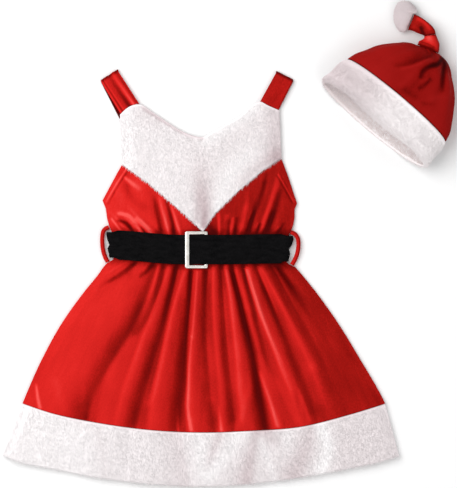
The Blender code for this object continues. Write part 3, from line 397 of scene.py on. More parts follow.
# Pile of the plush: strands, their length, the way of the nap, how far they lean along it, the seed,
# and how far their shading turns up to the light
Pile = namedtuple("Pile", "count length nap lean seed lift")
HAT_NAP = (sin(HAT_TURN), -cos(HAT_TURN), 0.0)
PILES = {
    "pile_hem_front": Pile(30000, 3.2, (0.05, -1, 0), 3.0, 21, 0.55),
    "pile_bib": Pile(22000, 3.2, (0.0, -1, 0), 3.0, 41, 0.55),
    "pile_hat_band": Pile(20000, 3.2, HAT_NAP, 3.0, 63, 0.55),
    "pile_hat_mouth": Pile(9000, 2.4, (-HAT_NAP[0], -HAT_NAP[1], 0.0), 3.0, 64, 0.75),
    "pile_hat_tip": Pile(5000, 2.4, (-0.5, 0.3, 0), 2.4, 83, 0.55),
}
PLUSH_SHINE = {"Specular_IOR_Level": 0.1, "Sheen_Weight": 0.2, "Sheen_Roughness": 0.5}
PILE_GRAIN = 1900.0
# Lengths over which the points of each piece are spread, for the steps at its edges
SKIRT_LONG, SKIRT_WIDE = 180.0, 300.0
HEM_LONG, HEM_DEEP = 430.0, 58.0
BIB_LONG = 90.0
BODICE_LONG, BODICE_WIDE = 90.0, 80.0
BACK_LONG, BACK_WIDE = 105.0, 190.0
STRAP_LONG, STRAP_WIDE = 120.0, 21.0
LOOP_LONG = 45.0
BAND_WIDE, BAND_ROUND = 36.0, 58.0
CROWN_LONG, CROWN_ROUND, CROWN_STREAKS, CROWN_SPREAD = 70.0, 50.0, 80.0, 30.0
RIB_LONG, RIB_HALF = 30.0, 8.0
# Counts of points along and across the pieces
BIB_ROWS, BIB_HALF = 70, 62
STRAP_UP, STRAP_TURN, STRAP_DOWN, STRAP_ACROSS = 40, 12, 44, 30
BELT_RUN, BELT_ROUND, BELT_TAB_STEPS, BELT_BACK_RUN, BELT_ACROSS = 170, 16, 8, 60, 30
CORNER_STEPS, BUCKLE_SIDES = 8, 20
LOOP_STEPS, LOOP_SIDES = 60, 20
BAND_ROWS, BAND_SIDES, MOUTH_ROWS, BAND_JOIN = 34, 180, 14, 8
CROWN_ROWS, CROWN_SIDES = 64, 200
RIB_STEPS, SOFT_SIDES = 60, 56
# Colours of the velour, from painted shade in the darkest troughs to a painted highlight on the crests,
# darker for the hat; then of the belt and the buckle
DRESS_TONES = [
    (0.0, (0.075, 0.001, 0.001)), (0.125, (0.12, 0.0015, 0.001)), (0.25, (0.205, 0.003, 0.002)),
    (0.375, (0.33, 0.006, 0.004)), (0.5, (0.52, 0.011, 0.009)), (0.64, (0.65, 0.017, 0.014)),
    (0.78, (0.72, 0.034, 0.03)), (1.0, (0.84, 0.085, 0.075)),
]
HAT_TONES = [
    (0.0, (0.040, 0.001, 0.001)), (0.25, (0.11, 0.001, 0.001)), (0.38, (0.20, 0.003, 0.002)),
    (0.5, (0.27, 0.005, 0.004)), (0.7, (0.31, 0.007, 0.006)), (1.0, (0.44, 0.016, 0.015)),
]
VELVET_TONES = [(0.35, (0.0012, 0.0012, 0.0014)), (0.65, (0.0065, 0.006, 0.0065))]
SILVER_TONES = [(0.3, (0.66, 0.63, 0.58)), (0.7, (0.84, 0.81, 0.77))]

# Cuts of the cloth: how it lies, its flat width, length and area in mm, what is on it, what it is on
Cut = namedtuple("Cut", "piece held width length area on_it rests_on")
CUTS = named(Cut,
    ("velour_skirt_front", "gathered", 410, 210, 70000, [], ["velour_skirt_back"]),
    ("velour_skirt_back", "gathered", 410, 210, 70000, [], []),
    ("plush_hem_front", "laid", 445, 95, 25500, ["pile_hem_front"], ["plush_hem_back"]),
    ("plush_hem_back", "laid", 445, 95, 25500, [], []),
    ("plush_bib", "laid", 178, 146, 15500, ["pile_bib"], ["velour_bodice_back"]),
    ("velour_bodice_front_left", "gathered", 125, 92, 6500, [], ["velour_bodice_back"]),
    ("velour_bodice_front_right", "gathered", 125, 100, 6500, [], ["velour_bodice_back"]),
    ("velour_bodice_back", "gathered", 235, 108, 21000, [], []),
    ("velour_strap_left", "folded", 22, 160, 3400, [], []),
    ("velour_strap_right", "folded", 22, 160, 3400, [], []),
    ("velvet_belt_front", "folded", 34, 240, 7800, [], ["velour_skirt_front", "plated_buckle"]),
    ("velvet_belt_back", "laid", 34, 176, 5700, [], []),
    ("velour_belt_loop_left", "folded", 10, 45, 306, [], []),
    ("velour_belt_loop_right", "folded", 10, 45, 306, [], []),
    ("plush_hat_band", "laid", 340, 38, 12500, ["pile_hat_band", "pile_hat_mouth"], []),
    ("velour_hat_crown", "gathered", 340, 95, 18000, [], ["plush_hat_band"]),
    ("velour_hat_knot", "gathered", 46, 22, 950, [], ["velour_hat_crown"]),
    ("velour_hat_tail", "folded", 30, 28, 800, [], ["velour_hat_knot"]),
)

# Stage: the camera stands far above, so that the hat's height hardly shifts it
CAMERA_UP = 20.0
SENSOR = 36.0
VIEW_LONG = 0.5368
FLOOR_SIZE = 24.0
FLOOR_DROP = 0.3
FLOOR_DARK, FLOOR_LIGHT = (0.90, 0.90, 0.90), (0.93, 0.93, 0.93)
WORLD = (1.0, 1.0, 1.0)
WORLD_POWER = 0.52
LIGHTS = [
    ("key", (-0.8, 0.5, 1.5), 1.7, 26.0),
    ("fill", (0.9, -0.9, 1.8), 1.6, 9.0),
]


def smooth(t):
    """0 up to 0, 1 from 1 on, and a soft rise between them."""
    t = np.clip(t, 0.0, 1.0)
    return t * t * (3 - 2 * t)


def mix(a, b, t):
    """From a at 0 to b at 1."""
    return a + (b - a) * t


def bell(x):
    """1 at 0, falling away on both sides."""
    return np.exp(-(x**2))


def unit(ways):
    """The same directions with a length of 1."""
    return ways / np.maximum(np.linalg.norm(ways, axis=-1, keepdims=True), 1e-9)


def angles(sides, shift=0.0):
    """Even angles round a ring, shifted by a share of their step."""
    return (np.arange(sides) + shift) * 2 * pi / sides


def above(a, b, blend=0.4):
    """A smooth surface that is never lower than either a or b."""
    return (a + b + np.sqrt((a - b) ** 2 + blend**2)) / 2


def through(points, at):
    """Smooth curve through (place, value) pairs, read at the given places."""
    xs, ys = np.array([(p[0], p[1]) for p in points], float).T
    if xs[0] > xs[-1]:
        xs, ys = xs[::-1], ys[::-1]
    slopes = np.gradient(ys, xs)
    at = np.clip(at, xs[0], xs[-1])
    k = np.clip(np.searchsorted(xs, at) - 1, 0, len(xs) - 2)
    step = xs[k + 1] - xs[k]
    t = (at - xs[k]) / step
    start, end = ys[k], ys[k + 1]
    tangent_in, tangent_out = slopes[k] * step, slopes[k + 1] * step
    turn = 2 * (start - end) + tangent_in + tangent_out
    rise = 3 * (end - start) - 2 * tangent_in - tangent_out
    return start + t * (tangent_in + t * (rise + t * turn))


def straight(points, at):
    """The same with straight runs between the points, for outlines with corners."""
    xs, ys = np.array([(p[0], p[1]) for p in points], float).T
    order = np.argsort(xs)
    return np.interp(at, xs[order], ys[order])


def side(key, y):
    """x of a side edge: stepped where the belt holds it, smooth along the skirt."""
    table = [(row.y, getattr(row, key)) for row in SIDES]
    skirt = [pair for pair in table if pair[0] <= SKIRT_FROM]
    return np.where(y < SKIRT_FROM, through(skirt, y), straight(table, y))


def belt_middle(x):
    """y of the belt's centre line: it drops from the left end to the buckle, then rises a little."""
    drop = BELT_DROP * smooth((x - BELT_DROP_FROM) / BELT_SLOPE_RUN)
    return BELT_LEFT_Y - drop + BELT_REGAIN * smooth((x - BELT_REGAIN_FROM) / BELT_SLOPE_RUN)


def past_belt(x, y):
    """Distance from the belt's edge, below 0 under the belt."""
    return abs(y - belt_middle(x)) - BELT_WIDTH / 2


def pressed(x, y):
    """1 where the belt or the buckle presses the gathers flat, 0 away from them."""
    from_buckle = np.maximum(
        abs(x - BUCKLE_CENTRE[0]) - BUCKLE_SIZE[0] / 2,
        abs(y - BUCKLE_CENTRE[1]) - BUCKLE_SIZE[1] / 2,
    )
    return 1 - smooth((np.minimum(past_belt(x, y), from_buckle) - 1) / PRESS_FADE)


def long_folds(folds, x, y):
    """Sum of the folds that run from the belt to the hem and spread on their way."""
    depth = smooth((FOLD_LEVELS[0] - y) / (FOLD_LEVELS[0] - FOLD_LEVELS[-1]))
    total = np.zeros(np.broadcast(x, y).shape)
    for fold in folds:
        line = np.polyfit(FOLD_LEVELS, (fold.belt, fold.upper, fold.lower, fold.hem), 3)
        away = x - np.polyval(line, np.minimum(y, FOLD_START))
        steep = (away > 0) == (fold.high_belt < 0)
        wide = mix(fold.wide_belt, fold.wide_hem, depth) * np.where(steep, FOLD_STEEP, FOLD_GENTLE)
        total = total + mix(fold.high_belt, fold.high_hem, depth) * bell(away / wide)
    return total


def gathers(table, x, y):
    """Sum of the short gathers, each along its own line and fading past its end."""
    total = np.zeros(np.broadcast(x, y).shape)
    for line in table:
        t = (y - line.start_y) / (line.end_y - line.start_y)
        away = x - line.start_x - (line.end_x - line.start_x) * np.clip(t, *GATHER_SLANT)
        fade = smooth((GATHER_FADE[1] - t) / (GATHER_FADE[1] - GATHER_FADE[0]))
        total = total + line.high * fade * bell(away / line.wide)
    return total


def folds_of(skirt, bodice, short, x, y):
    """Folds of one side of the dress: the skirt's below the waist seam, the bodice's above."""
    down = smooth((WAIST_BLEND - y) / (2 * WAIST_BLEND))
    wave = down * (long_folds(skirt, x, y) + gathers(short, x, y))
    wave = wave + (1 - down) * gathers(bodice, x, y)
    return wave * (1 - (1 - PRESSED) * pressed(x, y))


def inside(x, y, fall):
    """0 on the dress's side edges, 1 further in than the given distance."""
    return smooth(np.minimum(x - side("left", y), side("right", y) - x) / fall)


def back_under(x, y):
    """Lower face of the back: flat on the surface, with grooves where the folds lift it."""
    wave = folds_of(BACK_FOLDS, BACK_BODICE_GATHERS, [], x, y)
    grooves = np.maximum(wave * inside(x, y, SIDE_FALL) - BACK_LEAST, 0)
    lift = BELT_LIFT * (1 - smooth((past_belt(x, y) - BELT_LIFT_FROM) / BELT_LIFT_FADE))
    return lift + grooves * (1 - smooth((y - BACK_FLAT_FROM) / BACK_FLAT_FADE))


def back_cover(x, y):
    """Height that the front has to clear: back panel, back hem band or back strap."""
    hem = smooth((through(HEM_SEAM, x) - y) / HEM_BLEND + 1)
    strap = smooth((y - STRAP_FROM) / STRAP_BLEND)
    return back_under(x, y) + VELOUR + (PLUSH - VELOUR) * hem + (STRAP - VELOUR) * strap


def front_wave(x, y):
    """All folds and creases of the front, without the fall at its sides."""
    wave = folds_of(SKIRT_FOLDS, BODICE_GATHERS, SKIRT_GATHERS, x, y)
    table = SKIRT_CREASES + HEM_CREASES if y.min() < SKIRT_FROM else BODICE_CREASES + BANDS
    wave = wave + (creases(table, x, y) + bumpy(CRUMPLE, x, y)) * (1 - FINE_PRESSED * pressed(x, y))
    return wave * (1 - HEM_CALM * smooth((HEM_CALM_FROM - y) / HEM_CALM_RUN))


def front_under(x, y):
    """Lower face of the front panel, which lies on the back panel and clears it everywhere."""
    middle = through(FRONT_HEIGHTS, y)
    mask = inside(x, y, SIDE_FALL)
    top = SIDE_Z + (middle - SIDE_Z) * mask + front_wave(x, y) * mask
    return above(top - VELOUR, back_cover(x, y) + PLY)


def on_dress(x, y, z):
    """Points in the dress's own x, y and z, placed in the set."""
    return np.stack([x + DRESS_AT[0], y + DRESS_AT[1], z + 0 * x], axis=-1)


def dress_world(points):
    """A grid of points in the dress's own places, placed in the set."""
    return on_dress(*np.moveaxis(points, -1, 0))


def hat_turned(ways):
    """Directions of the hat's own a, b and z, turned into the set's."""
    x = ways[..., 0] * cos(HAT_TURN) - ways[..., 1] * sin(HAT_TURN)
    y = ways[..., 0] * sin(HAT_TURN) + ways[..., 1] * cos(HAT_TURN)
    return np.stack([x, y, ways[..., 2]], axis=-1)


def hat_world(points):
    """Points in the hat's own a, b and z, placed in the set."""
    return hat_turned(points) + np.array([*HAT_AT, 0.0])


# ---- Fine shape of the cloth: creases along given lines, crumple and edges ----

Crease = namedtuple("Crease", "high wide line")
Tone = namedtuple("Tone", "start end left left_end right right_end line")


def pairs(line):
    """Points of a line from its x, y, x, y and so on."""
    return list(zip(line[::2], line[1::2]))


def lined(*table):
    """Creases, each from its height, its width and its line."""
    return [Crease(high, wide, pairs(line)) for high, wide, *line in table]


def toned(*table):
    """Tones, each from its strength, its spread and its line.

    A pair gives the start and the end of the line. Four spreads give a pair for each side.
    """
    made = []
    for high, wide, *line in table:
        start, end = high if isinstance(high, tuple) else (high, high)
        spread = wide if isinstance(wide, tuple) else (wide, wide)
        made.append(Tone(start, end, *(spread * 2)[:4], pairs(line)))
    return made
SKIRT_CREASES = lined(
    (-1, 2.4, -62, -12, -70, -18, -80, -28, -90, -35, -108, -42),
    (-0.9, 2, -46, -14, -51, -20, -58, -28, -63, -33), (0.5, 2, -44, -14, -49, -36, -60, -66),
    (0.7, 1.8, -181.5, -148, -178.5, -166, -175.5, -184), (0.7, 1.6, 20, -170, 21.5, -184, 23.5, -212),
    (0.5, 2, 111.4, -160, 113.2, -192), (-1, 2.4, 80, -14, 88, -28, 95, -36, 108, -54),
    (0.9, 1.8, 62, -14, 66, -28, 73.3, -46.6, 88, -80),
    (0.8, 1.3, -3.6, -14, -5.6, -66, -8.6, -100, -12.6, -135, -13.2, -166, -8.9, -216),
    (0.9, 1.4, 49, -14, 51.3, -26.4, 58.6, -46.6, 64, -65, 73.3, -90.5, 84.3, -116, 97.3, -137),
    (1, 1.5, 65, -138, 69.7, -151, 77, -169.4, 86.3, -206),
    (0.6, 1.6, 24, -12, 29, -40, 34, -75, 38, -110), (-0.8, 2, 40, -14, 45, -44, 50, -74),
)
HEM_CREASES = lined(
    (-1.1, 5, -15, -196, -9, -220, 6.5, -264), (-1, 5, 48, -196, 36, -218, 14.5, -250),
    (-1, 5, 66, -210, 73, -232, 86.5, -262), (-0.8, 6, 138.5, -200, 135, -230, 130, -256),
    (0.8, 7, 22, -200, 26, -232, 34, -262), (-0.5, 14, -95, -210, -78, -250),
)
BODICE_CREASES = lined(
    (0.8, 3.2, -82.9, 75.4, -75, 69, -67.8, 63.4), (-0.7, 4, -84.3, 69.9, -78, 58, -71.5, 48.7),
    (1, 1.8, -87, 34.1, -80.7, 34.1, -72.4, 26.7, -64.2, 17.6), (0.9, 1.7, -93.5, 32.3, -84.3, 19.5),
    (0.7, 1.5, -98.1, 21.3, -95.8, 17.6), (0.6, 1.4, -82.5, 20.4, -77, 16.7),
    (-0.9, 1.8, -83.4, 26.7, -77, 21.2), (1, 2, -70.6, 31.4, -64.2, 26.7, -51.4, 15.7),
    (0.7, 1.5, -48.6, 19.5, -44, 14.9), (0.9, 1.7, -44.9, 52.5, -42.1, 37.7, -37.6, 26.7, -34.3, 14.9),
    (-0.9, 2, -50.6, 56.1, -47, 36, -41.4, 17.6), (-0.6, 1.8, -34.9, 43.2, -31.1, 26.7, -27.5, 14.9),
    (0.7, 1.6, -27.5, 37.7, -23.9, 25, -21.1, 14), (1, 1.4, 21.6, 31.4, 22, 16.6),
    (-0.8, 1.7, 30.3, 28.6, 28.4, 14.9), (0.7, 1.5, 33.9, 24, 32.1, 14),
    (-0.7, 1.5, 39.4, 22.2, 37.6, 13), (-0.6, 2, 49.5, 37.7, 44, 22.2), (0.7, 1.5, 48.6, 24, 44, 14),
    (-0.9, 2.2, 62.4, 41.5, 56.9, 28.6, 53.1, 14.9), (0.8, 1.4, 58.4, 40.5, 52.9, 26.7),
    (0.8, 1.8, 66, 27.7, 58.6, 14.9), (-1, 1.6, 68.9, 25, 64.8, 17.6), (-0.6, 3, 87.1, 60.7, 82.5, 41.5),
    (-1.4, 2.6, 82.5, 41.5, 77, 26.7, 70.6, 14.9), (0.9, 3, 87.1, 72.6, 80.6, 48.7, 75.1, 31.4),
    (-1, 3, 73.4, 77.2, 69.6, 60.7, 66, 48.7), (0.7, 1.6, 89.9, 23.1, 82.5, 14.9),
    (0.6, 1.4, 85.3, 19.5, 79.8, 14),
)
# Stitched armhole bands: a ridge along each seam line
BANDS = lined(
    (0.45, 1, -82.1, 82.7, -102.6, 48.7), (-0.4, 1.1, -79.8, 81.4, -100.4, 47.2),
    (0.45, 1, 87.6, 84.6, 104.4, 51.6), (-0.4, 1.1, 85.2, 84, 102, 50.2),
)
BIB_CREASES = lined(
    (-0.5, 4.5, 3.3, 20, 2.8, 40, 4.5, 68), (0.35, 6, 14, 40, 16, 62), (-0.3, 6, -40, 118, -22, 98),
    (-0.3, 6, 52, 112, 38, 92),
)
CROWN_CREASES = lined(
    (1.2, 1.7, 6, 98, 1, 91, -1.8, 84.4, -5.6, 77.6, -9.6, 72.4, -16, 64),
    (-0.8, 3, 2, 99, -4.8, 86.6, -8.7, 79.8, -18, 66),
    (-1.6, 2, 13, 104, 12.6, 95.5, 8.4, 89.4, 6, 83.8, 5.4, 77.3, 8, 70),
    (-1.6, 2.2, 17, 103, 19.9, 97.9, 25.1, 90.3, 30.4, 82.9, 36, 74),
    (-0.8, 2.2, 18, 80, 16.4, 68.6, 13.5, 58), (0.7, 3, 26, 56, 31.7, 61.8, 45, 76),
    (0.6, 3.2, 0, 76, -1.6, 64.3, -2.6, 54, -5, 46),
)
KNOT_CREASES = lined(
    (-0.8, 1.1, -15, 122, -8.4, 117, -3.2, 114.2, 0.4, 111.1, 3.5, 104),
    (0.8, 3.5, -18, 114.4, -11.5, 110.3, -2, 107.8),
    (-0.7, 1.1, -22, 100, -15, 103.1, -9.9, 105.5, -1.1, 106.7, 6, 106),
)
TAIL_CREASES = lined(
    (-1, 2, -32, 117.5, -25.4, 113, -18.2, 109.2),
    (0.8, 2.2, -40, 120, -32, 121.9, -23.5, 121.8, -14.5, 118.5),
    (0.5, 2.6, -36, 124, -34, 112, -31, 102),
)
# Painted light and shade along lines from top to bottom: strength at the line's start and end, painted
# shade below 0, then the width of the tone on the line's left side and right side, start and end
SKIRT_TONES = toned(
    ((0.22, 0.2), (400, 400, 34, 34), -90, -20, -120, -110, -140, -200),
    ((-0.29, -0.25), (6, 12, 400, 400), 72, -22, 92, -56, 112, -98, 130, -134, 138, -190),
    ((-0.59, -0.11), (4, 3, 3, 6), -70, -16, -80, -28, -90, -35, -108, -42),
    (-0.09, 4, -84, -20, -76, -34), ((-0.59, -0.43), (3, 2, 2, 3), -50, -18, -58, -28, -65, -33),
    ((-0.27, -0.32), (5, 24, 3, 6), -48, -22, -57, -42, -63, -60, -69, -77, -78, -95, -91, -114, -103,
      -133, -111, -156, -118, -190),
    ((-0.11, -0.06), (5, 6, 6, 8), -66, -66, -72, -86, -84, -102, -94, -116),
    ((-0.08, -0.43), (3, 4, 3, 3), -121, -170, -125, -190), (0.11, 4, -128, -158, -131, -170),
    ((0.18, 0.09), 3, -47, -22, -53, -42, -58, -56),
    ((-0.43, -0.27), (2.5, 7, 2.5, 4), -40, -20, -43, -40, -47, -54, -55, -74, -62, -86, -70, -96),
    ((0.18, 0.14), (3, 8, 2.5, 5), -34, -24, -37, -42, -44, -62, -53, -82, -62, -100, -68, -120, -75,
      -140, -82, -160),
    ((-0.64, -0.19), (4, 10, 3, 5), -25, -20, -29, -40, -34, -60, -38, -80, -42, -100, -45, -116, -50,
      -135, -55, -152, -61, -172, -68, -196),
    (-0.15, (7, 12, 4, 5), -52, -110, -59, -138, -68, -160, -76, -190),
    ((0.14, 0.27), (3, 4, 3, 3), -14, -24, -20, -42, -27, -62, -32, -82, -36, -100, -40, -116, -44, -134,
      -49, -156, -55, -174),
    ((-0.15, -0.19), (8, 16, 3, 3), -18, -60, -21, -100, -22, -140, -24, -200),
    ((-0.68, -0.19), (3, 5, 2, 1.2), -10, -22, -11.5, -60, -14, -92, -15.5, -120, -16.5, -150, -18, -178,
      -16, -203),
    ((0.14, 0.32), (1.5, 1.5, 2, 3), -4.5, -24, -6.5, -60, -9.5, -100),
    ((0.32, 1), (1.1, 1.6, 1.4, 2.4), -9.5, -100, -12, -130, -13, -160, -14, -177, -10, -203),
    ((-0.64, -0.11), (3, 6, 4, 8), 5, -20, 6, -52, 6, -76, 4.5, -100, 4, -130),
    ((0.09, 0.05), (3, 6), 15, -26, 16, -60, 17, -100),
    ((-0.04, -0.08), (4, 6), 8, -125, 10, -160, 15, -192),
    ((-0.64, 0), (3, 4), 23, -20, 24.5, -42, 25, -75),
    ((-0.09, -0.23), 6, 25, -70, 26, -110, 30, -140, 35, -168, 38, -190),
    ((0.27, 0.18), (1.8, 5, 2, 5), 28, -24, 32, -44, 35, -66, 38, -100, 42, -140, 46, -190),
    ((-0.85, -0.52), (2.6, 8, 2.4, 6), 34, -20, 38, -40, 43, -58, 48, -80, 54, -100, 59, -122, 62, -145,
      67, -170, 73, -202),
    (-0.15, (4, 5), 52, -75, 60, -105, 62, -118), ((0.09, 0), (1.8, 2), 39, -26, 44, -42, 49, -58),
    ((-0.59, -0.15), (2.6, 4, 2.4, 4), 47, -22, 52, -44, 57, -62, 62, -82, 67, -102, 74, -126, 82, -144),
    ((1.06, 0.1), (1.4, 3.4, 2, 4.5), 50.5, -26, 55, -42, 60, -57, 65, -72, 71, -88, 78, -105, 85, -122,
      93, -142, 101, -160),
    ((-0.59, -0.23), (2.5, 6, 3.5, 9), 61, -20, 68, -42, 75, -58, 83, -78, 90, -93, 97, -112, 106, -138,
      114, -156, 123, -182),
    ((0.27, 0.18), (2.5, 5, 3, 6), 64, -25, 71, -38, 80, -53, 89, -68, 98, -86, 106, -102, 115, -118, 123,
      -134),
    ((0.18, 0.09), (5, 5, 6, 6), 123, -134, 129, -152, 132, -170),
    ((-0.43, -0.08), (4, 6, 3, 6), 84, -20, 92, -36, 101, -47, 111, -58, 124, -72),
    ((-0.27, -0.15), (5, 4), 78, -20, 84, -32),
    ((0.27, 0.7), (1.5, 2, 2, 4), 66, -140, 72, -158, 78, -176, 85, -198),
    (-0.08, (3, 4), 82, -150, 90, -172, 94, -195), ((0.05, 0.18), 3, 92, -158, 99, -176, 106, -192),
    (-0.11, (2.5, 3), 104, -160, 110, -186), ((0.14, 0.32), 2, 108, -160, 114, -174, 120, -192),
    ((0, 0.5), (1.5, 1.8), -25, -175, -24, -203), ((0.09, 0.9), (1.5, 2.2), 21, -178, 23.5, -203),
    ((-0.11, -0.3), (3, 4), 13, -175, 16, -203),
    ((0.6, 1), (1.4, 1.8), -180, -154, -178.5, -166, -176, -178), (0.11, 5, -158, -150, -150, -182),
)
BODICE_TONES = toned(
    (0.3, (200, 200, 30, 30), -60, 80, -60, 0), (-0.27, (10, 10, 300, 300), 30, 60, 12, 10),
    ((0.9, 0.5), (2, 3, 2.2, 3), -82, 74, -76, 69, -68, 63),
    ((-0.3, -0.25), (5, 5, 5, 6), -82, 76, -79, 60, -73, 49, -62, 42),
    ((-0.15, -0.75), (6, 5, 4, 2.5), -56, 62, -51, 50, -47, 36, -43, 10),
    ((0.3, 0.6), (2, 1.5), -45, 52, -41, 38, -37, 24, -34, 10),
    ((-0.5, -0.8), (2, 2, 2, 1.8), -37, 48, -33, 36, -30, 24, -28, 10),
    ((0.5, 0.8), 1.2, -31, 42, -27, 28, -21, 10), ((-0.15, -0.35), (6, 4), -12, 24, 2, 15),
    (0.9, 2, -89, 35, -79, 33, -71, 25, -63, 10),
    ((0.8, 0.9), (2, 2, 2.4, 2.4), -70, 29, -62, 22, -51, 10), (0.8, 1.3, -97, 29, -84, 12),
    ((-0.75, -0.8), 2, -90, 27, -82, 25, -75, 17, -72, 10),
    ((-0.5, -0.7), 1.5, -71, 24, -62, 16, -58, 10), ((0.7, 0.5), 0.9, -81, 84, -93, 66, -103, 48),
    (-0.4, 1, -79.5, 82, -91, 64, -101, 46), ((0.55, 0.4), 1.2, 20.5, 34, 21, 10),
    (-0.5, (5, 5, 3, 3), 10, 22, 16, 14), (0.3, 2.5, 29, 32, 27, 10),
    ((-0.3, -0.5), 1.5, 32.5, 28, 31, 10), ((0.2, 0.5), 1.2, 36, 30, 33.5, 10),
    ((-0.3, -0.4), 1.5, 40, 30, 38, 10), ((0.25, 0.35), (4, 2), 50, 42, 46, 30, 42.5, 10),
    ((-0.25, -0.85), (4, 3, 3, 2.2), 70, 68, 66, 52, 61, 38, 57, 26, 52.5, 10),
    ((-0.25, -0.1), 3, 73, 78, 71, 64),
    ((0.2, 0.3), (3, 3, 3, 2), 86, 76, 83, 58, 78, 44, 72, 32, 65, 16),
    ((-0.2, -1), 3, 88, 60, 85, 46, 81, 34, 76, 22, 70.5, 10), ((-0.5, -0.6), 1.2, 66, 24, 61.5, 10),
    ((-0.3, -0.5), 1.5, 92, 24, 83, 10), ((0.5, 0.4), 0.8, 86, 78, 94, 64, 103, 48),
    (-0.35, 1, 84.5, 77, 92.5, 63, 101.5, 47),
)
BIB_TONES = toned(
    (0.12, (30, 30, 12, 12), -84, 150, -82, 90), (0.05, (60, 60, 40, 40), -60, 140, -50, 60),
    (-0.4, (2, 2, 3, 3), -62, 151, -37, 135, -20, 125, 2, 118), (-0.1, 8, -66, 146, -48, 136),
    (0.16, 7, 60, 152, 32, 132, 6, 116), ((-0.2, -0.3), (14, 14, 30, 30), 84, 150, 86, 98),
    ((-0.3, -0.15), (10, 8), 84, 98, 62, 82, 50, 70),
    ((0.1, 0.18), (11, 8), 54, 100, 38, 86, 27, 66, 21, 42),
    ((-0.1, -0.7), (14, 4, 12, 6), 3, 92, 2, 70, 3, 56, 5, 42, 4, 22),
    ((-0.05, -0.3), (6, 4, 4, 3), -2, 60, -3, 42, -4, 28),
)
HEM_TONES = toned(
    (0.14, (400, 400, 40, 40), -150, -180, -140, -250), (-0.12, (14, 14, 400, 400), 160, -180, 160, -260),
    (-0.15, (18, 22, 4, 4), -24, -202, -20, -230, -14, -264), (-0.11, 6, -138, -190, -124, -198),
    (-0.06, (5, 8), -112, -200, -104, -250), (0.16, 9, -2, -206, 3, -250),
    ((-0.3, -0.08), (4, 5), 23, -204, 15, -224, 6, -246), (0.16, 8, 44, -204, 30, -228, 12, -254),
    ((-0.22, -0.38), (5, 13, 4, 8), 62, -204, 58, -222, 52, -256),
    ((-0.38, -0.22), (10, 10, 8, 8), 72, -203, 80, -210), (0.1, 4, 67, -214, 74, -234, 82, -256),
    ((0.1, 0.05), 6, 94, -202, 98, -226),
    ((-0.22, -0.34), (12, 16, 6, 12), 122, -200, 116, -226, 104, -252),
    (0.25, (7, 8, 6, 7), 134, -200, 141, -222, 134, -246),
    # Painted shade along the hem's seam
    (-0.34, 1.3, *(way for point in HEM_SEAM for way in point)),
)
BAND_TONES = toned(
    ((-0.4, -0.35), (40, 26), -80, 20, -60, 20, -34, 24),
    ((0.25, 0.3), (60, 60, 400, 400), 40, 60, 40, -10),
)
# The mouth's tones: a dark line at the band's join seam, then broad painted shade
MOUTH_TONES = toned(
    (-0.7, 1.1, 17.2, -3, 19.2, 12), (-0.1, (30, 30, 12, 12), 6, 6, 40, 6),
)
TIP_TONES = toned(
    (-0.35, 40, -50, 110, -40, 130),
)
CROWN_TONES = toned(
    (0.32, (400, 400, 22, 22), -36, 100, -36, 40), (-0.12, 22, 0, 92, 10, 58),
    ((0.1, 0.2), (25, 25, 400, 400), 42, 100, 42, 40),
    ((0.5, 0.35), (1.4, 2), 4, 94, 1, 91, -1.8, 84.4, -5.6, 77.6, -9.6, 72.4, -14, 66.3),
    ((-0.35, -0.3), (5, 6, 2, 2), 1.3, 97.8, -4.8, 86.6, -8.7, 79.8, -16.5, 67.8, -22, 64),
    ((-1, -0.45), (2, 3, 2.2, 3), 12.2, 104, 12.6, 95.5, 8.4, 89.4, 6, 83.8, 5.4, 77.3, 7.3, 73),
    (-0.4, 3, 12.8, 96.5, 11, 93),
    ((0.22, 0.25), (3.5, 4), -0.8, 73.3, -1.6, 64.3, -2.2, 56.5, -3.6, 52.4),
    ((-0.4, -0.3), 2.5, 17, 77, 16.4, 68.6, 14.5, 62.3), (0.15, 2, 14, 75, 11, 69),
    (-0.25, 4, 3.1, 50.2, 10.2, 50.3, 16, 52),
    ((-1, -0.4), (2.2, 3.5, 2.2, 3), 18, 101, 19.9, 97.9, 25.1, 90.3, 30.4, 82.9, 34.6, 76.8),
    ((-0.5, -0.3), (2.5, 2.5, 3, 3), 13.6, 104, 20, 101, 26, 97),
    ((0.25, 0.2), (2, 3), 29.8, 91.9, 37.1, 86.1, 44, 80), (0.22, 3, 31.7, 61.8, 42.2, 73.6),
    ((-0.22, -0.15), 2.5, 28, 52.1, 38, 58.7), (-0.15, 8, -25.7, 78.6, -15.2, 87.5),
)
# The knot's tones start with a painted highlight
KNOT_TONES = toned(
    ((0.8, 0.6), 3.5, -16, 113.5, -12, 112), ((0.3, 0.2), 5, -14, 108, -6, 110, -2, 112),
    (-0.8, (1.6, 1.8), -19, 98.5, -10, 101.5, -2.6, 104, 5, 104), (-0.7, 1, -18.8, 109.5, -9.6, 119.6),
    ((-0.4, -0.3), 1.6, -17, 103, -10, 105.5, -3, 107),
)
TAIL_TONES = toned(
    (-0.3, 400, -20, 115, -40, 115), (-0.7, (1.6, 2), -27, 114.5, -24, 112.8, -20.5, 111.2),
    ((0.35, 0.3), 2, -36, 120.5, -27, 121.5, -19, 119.5), (-0.5, 1.3, -19, 110, -10.5, 119.8),
    (-0.3, 2.5, -37, 103, -41, 112, -43, 121), (-0.3, 1.5, -35, 106, -28, 108.5, -21, 110),
)
# Rounding of the lines above, and how their creases fade at ends that the belt doesn't hold
LINE_STEPS = 3
CREASE_TAPER = 0.3
BELT_REACH = 22.0
# Steps of the points in from an edge, and the share of the thickness that is left at a rim
SOFT_EDGE = (0.0, 0.12, 0.4, 0.9)
PLUSH_EDGE = (0.0, 0.3, 0.9, 1.8, 3.0)
RIM_LEFT = 0.25


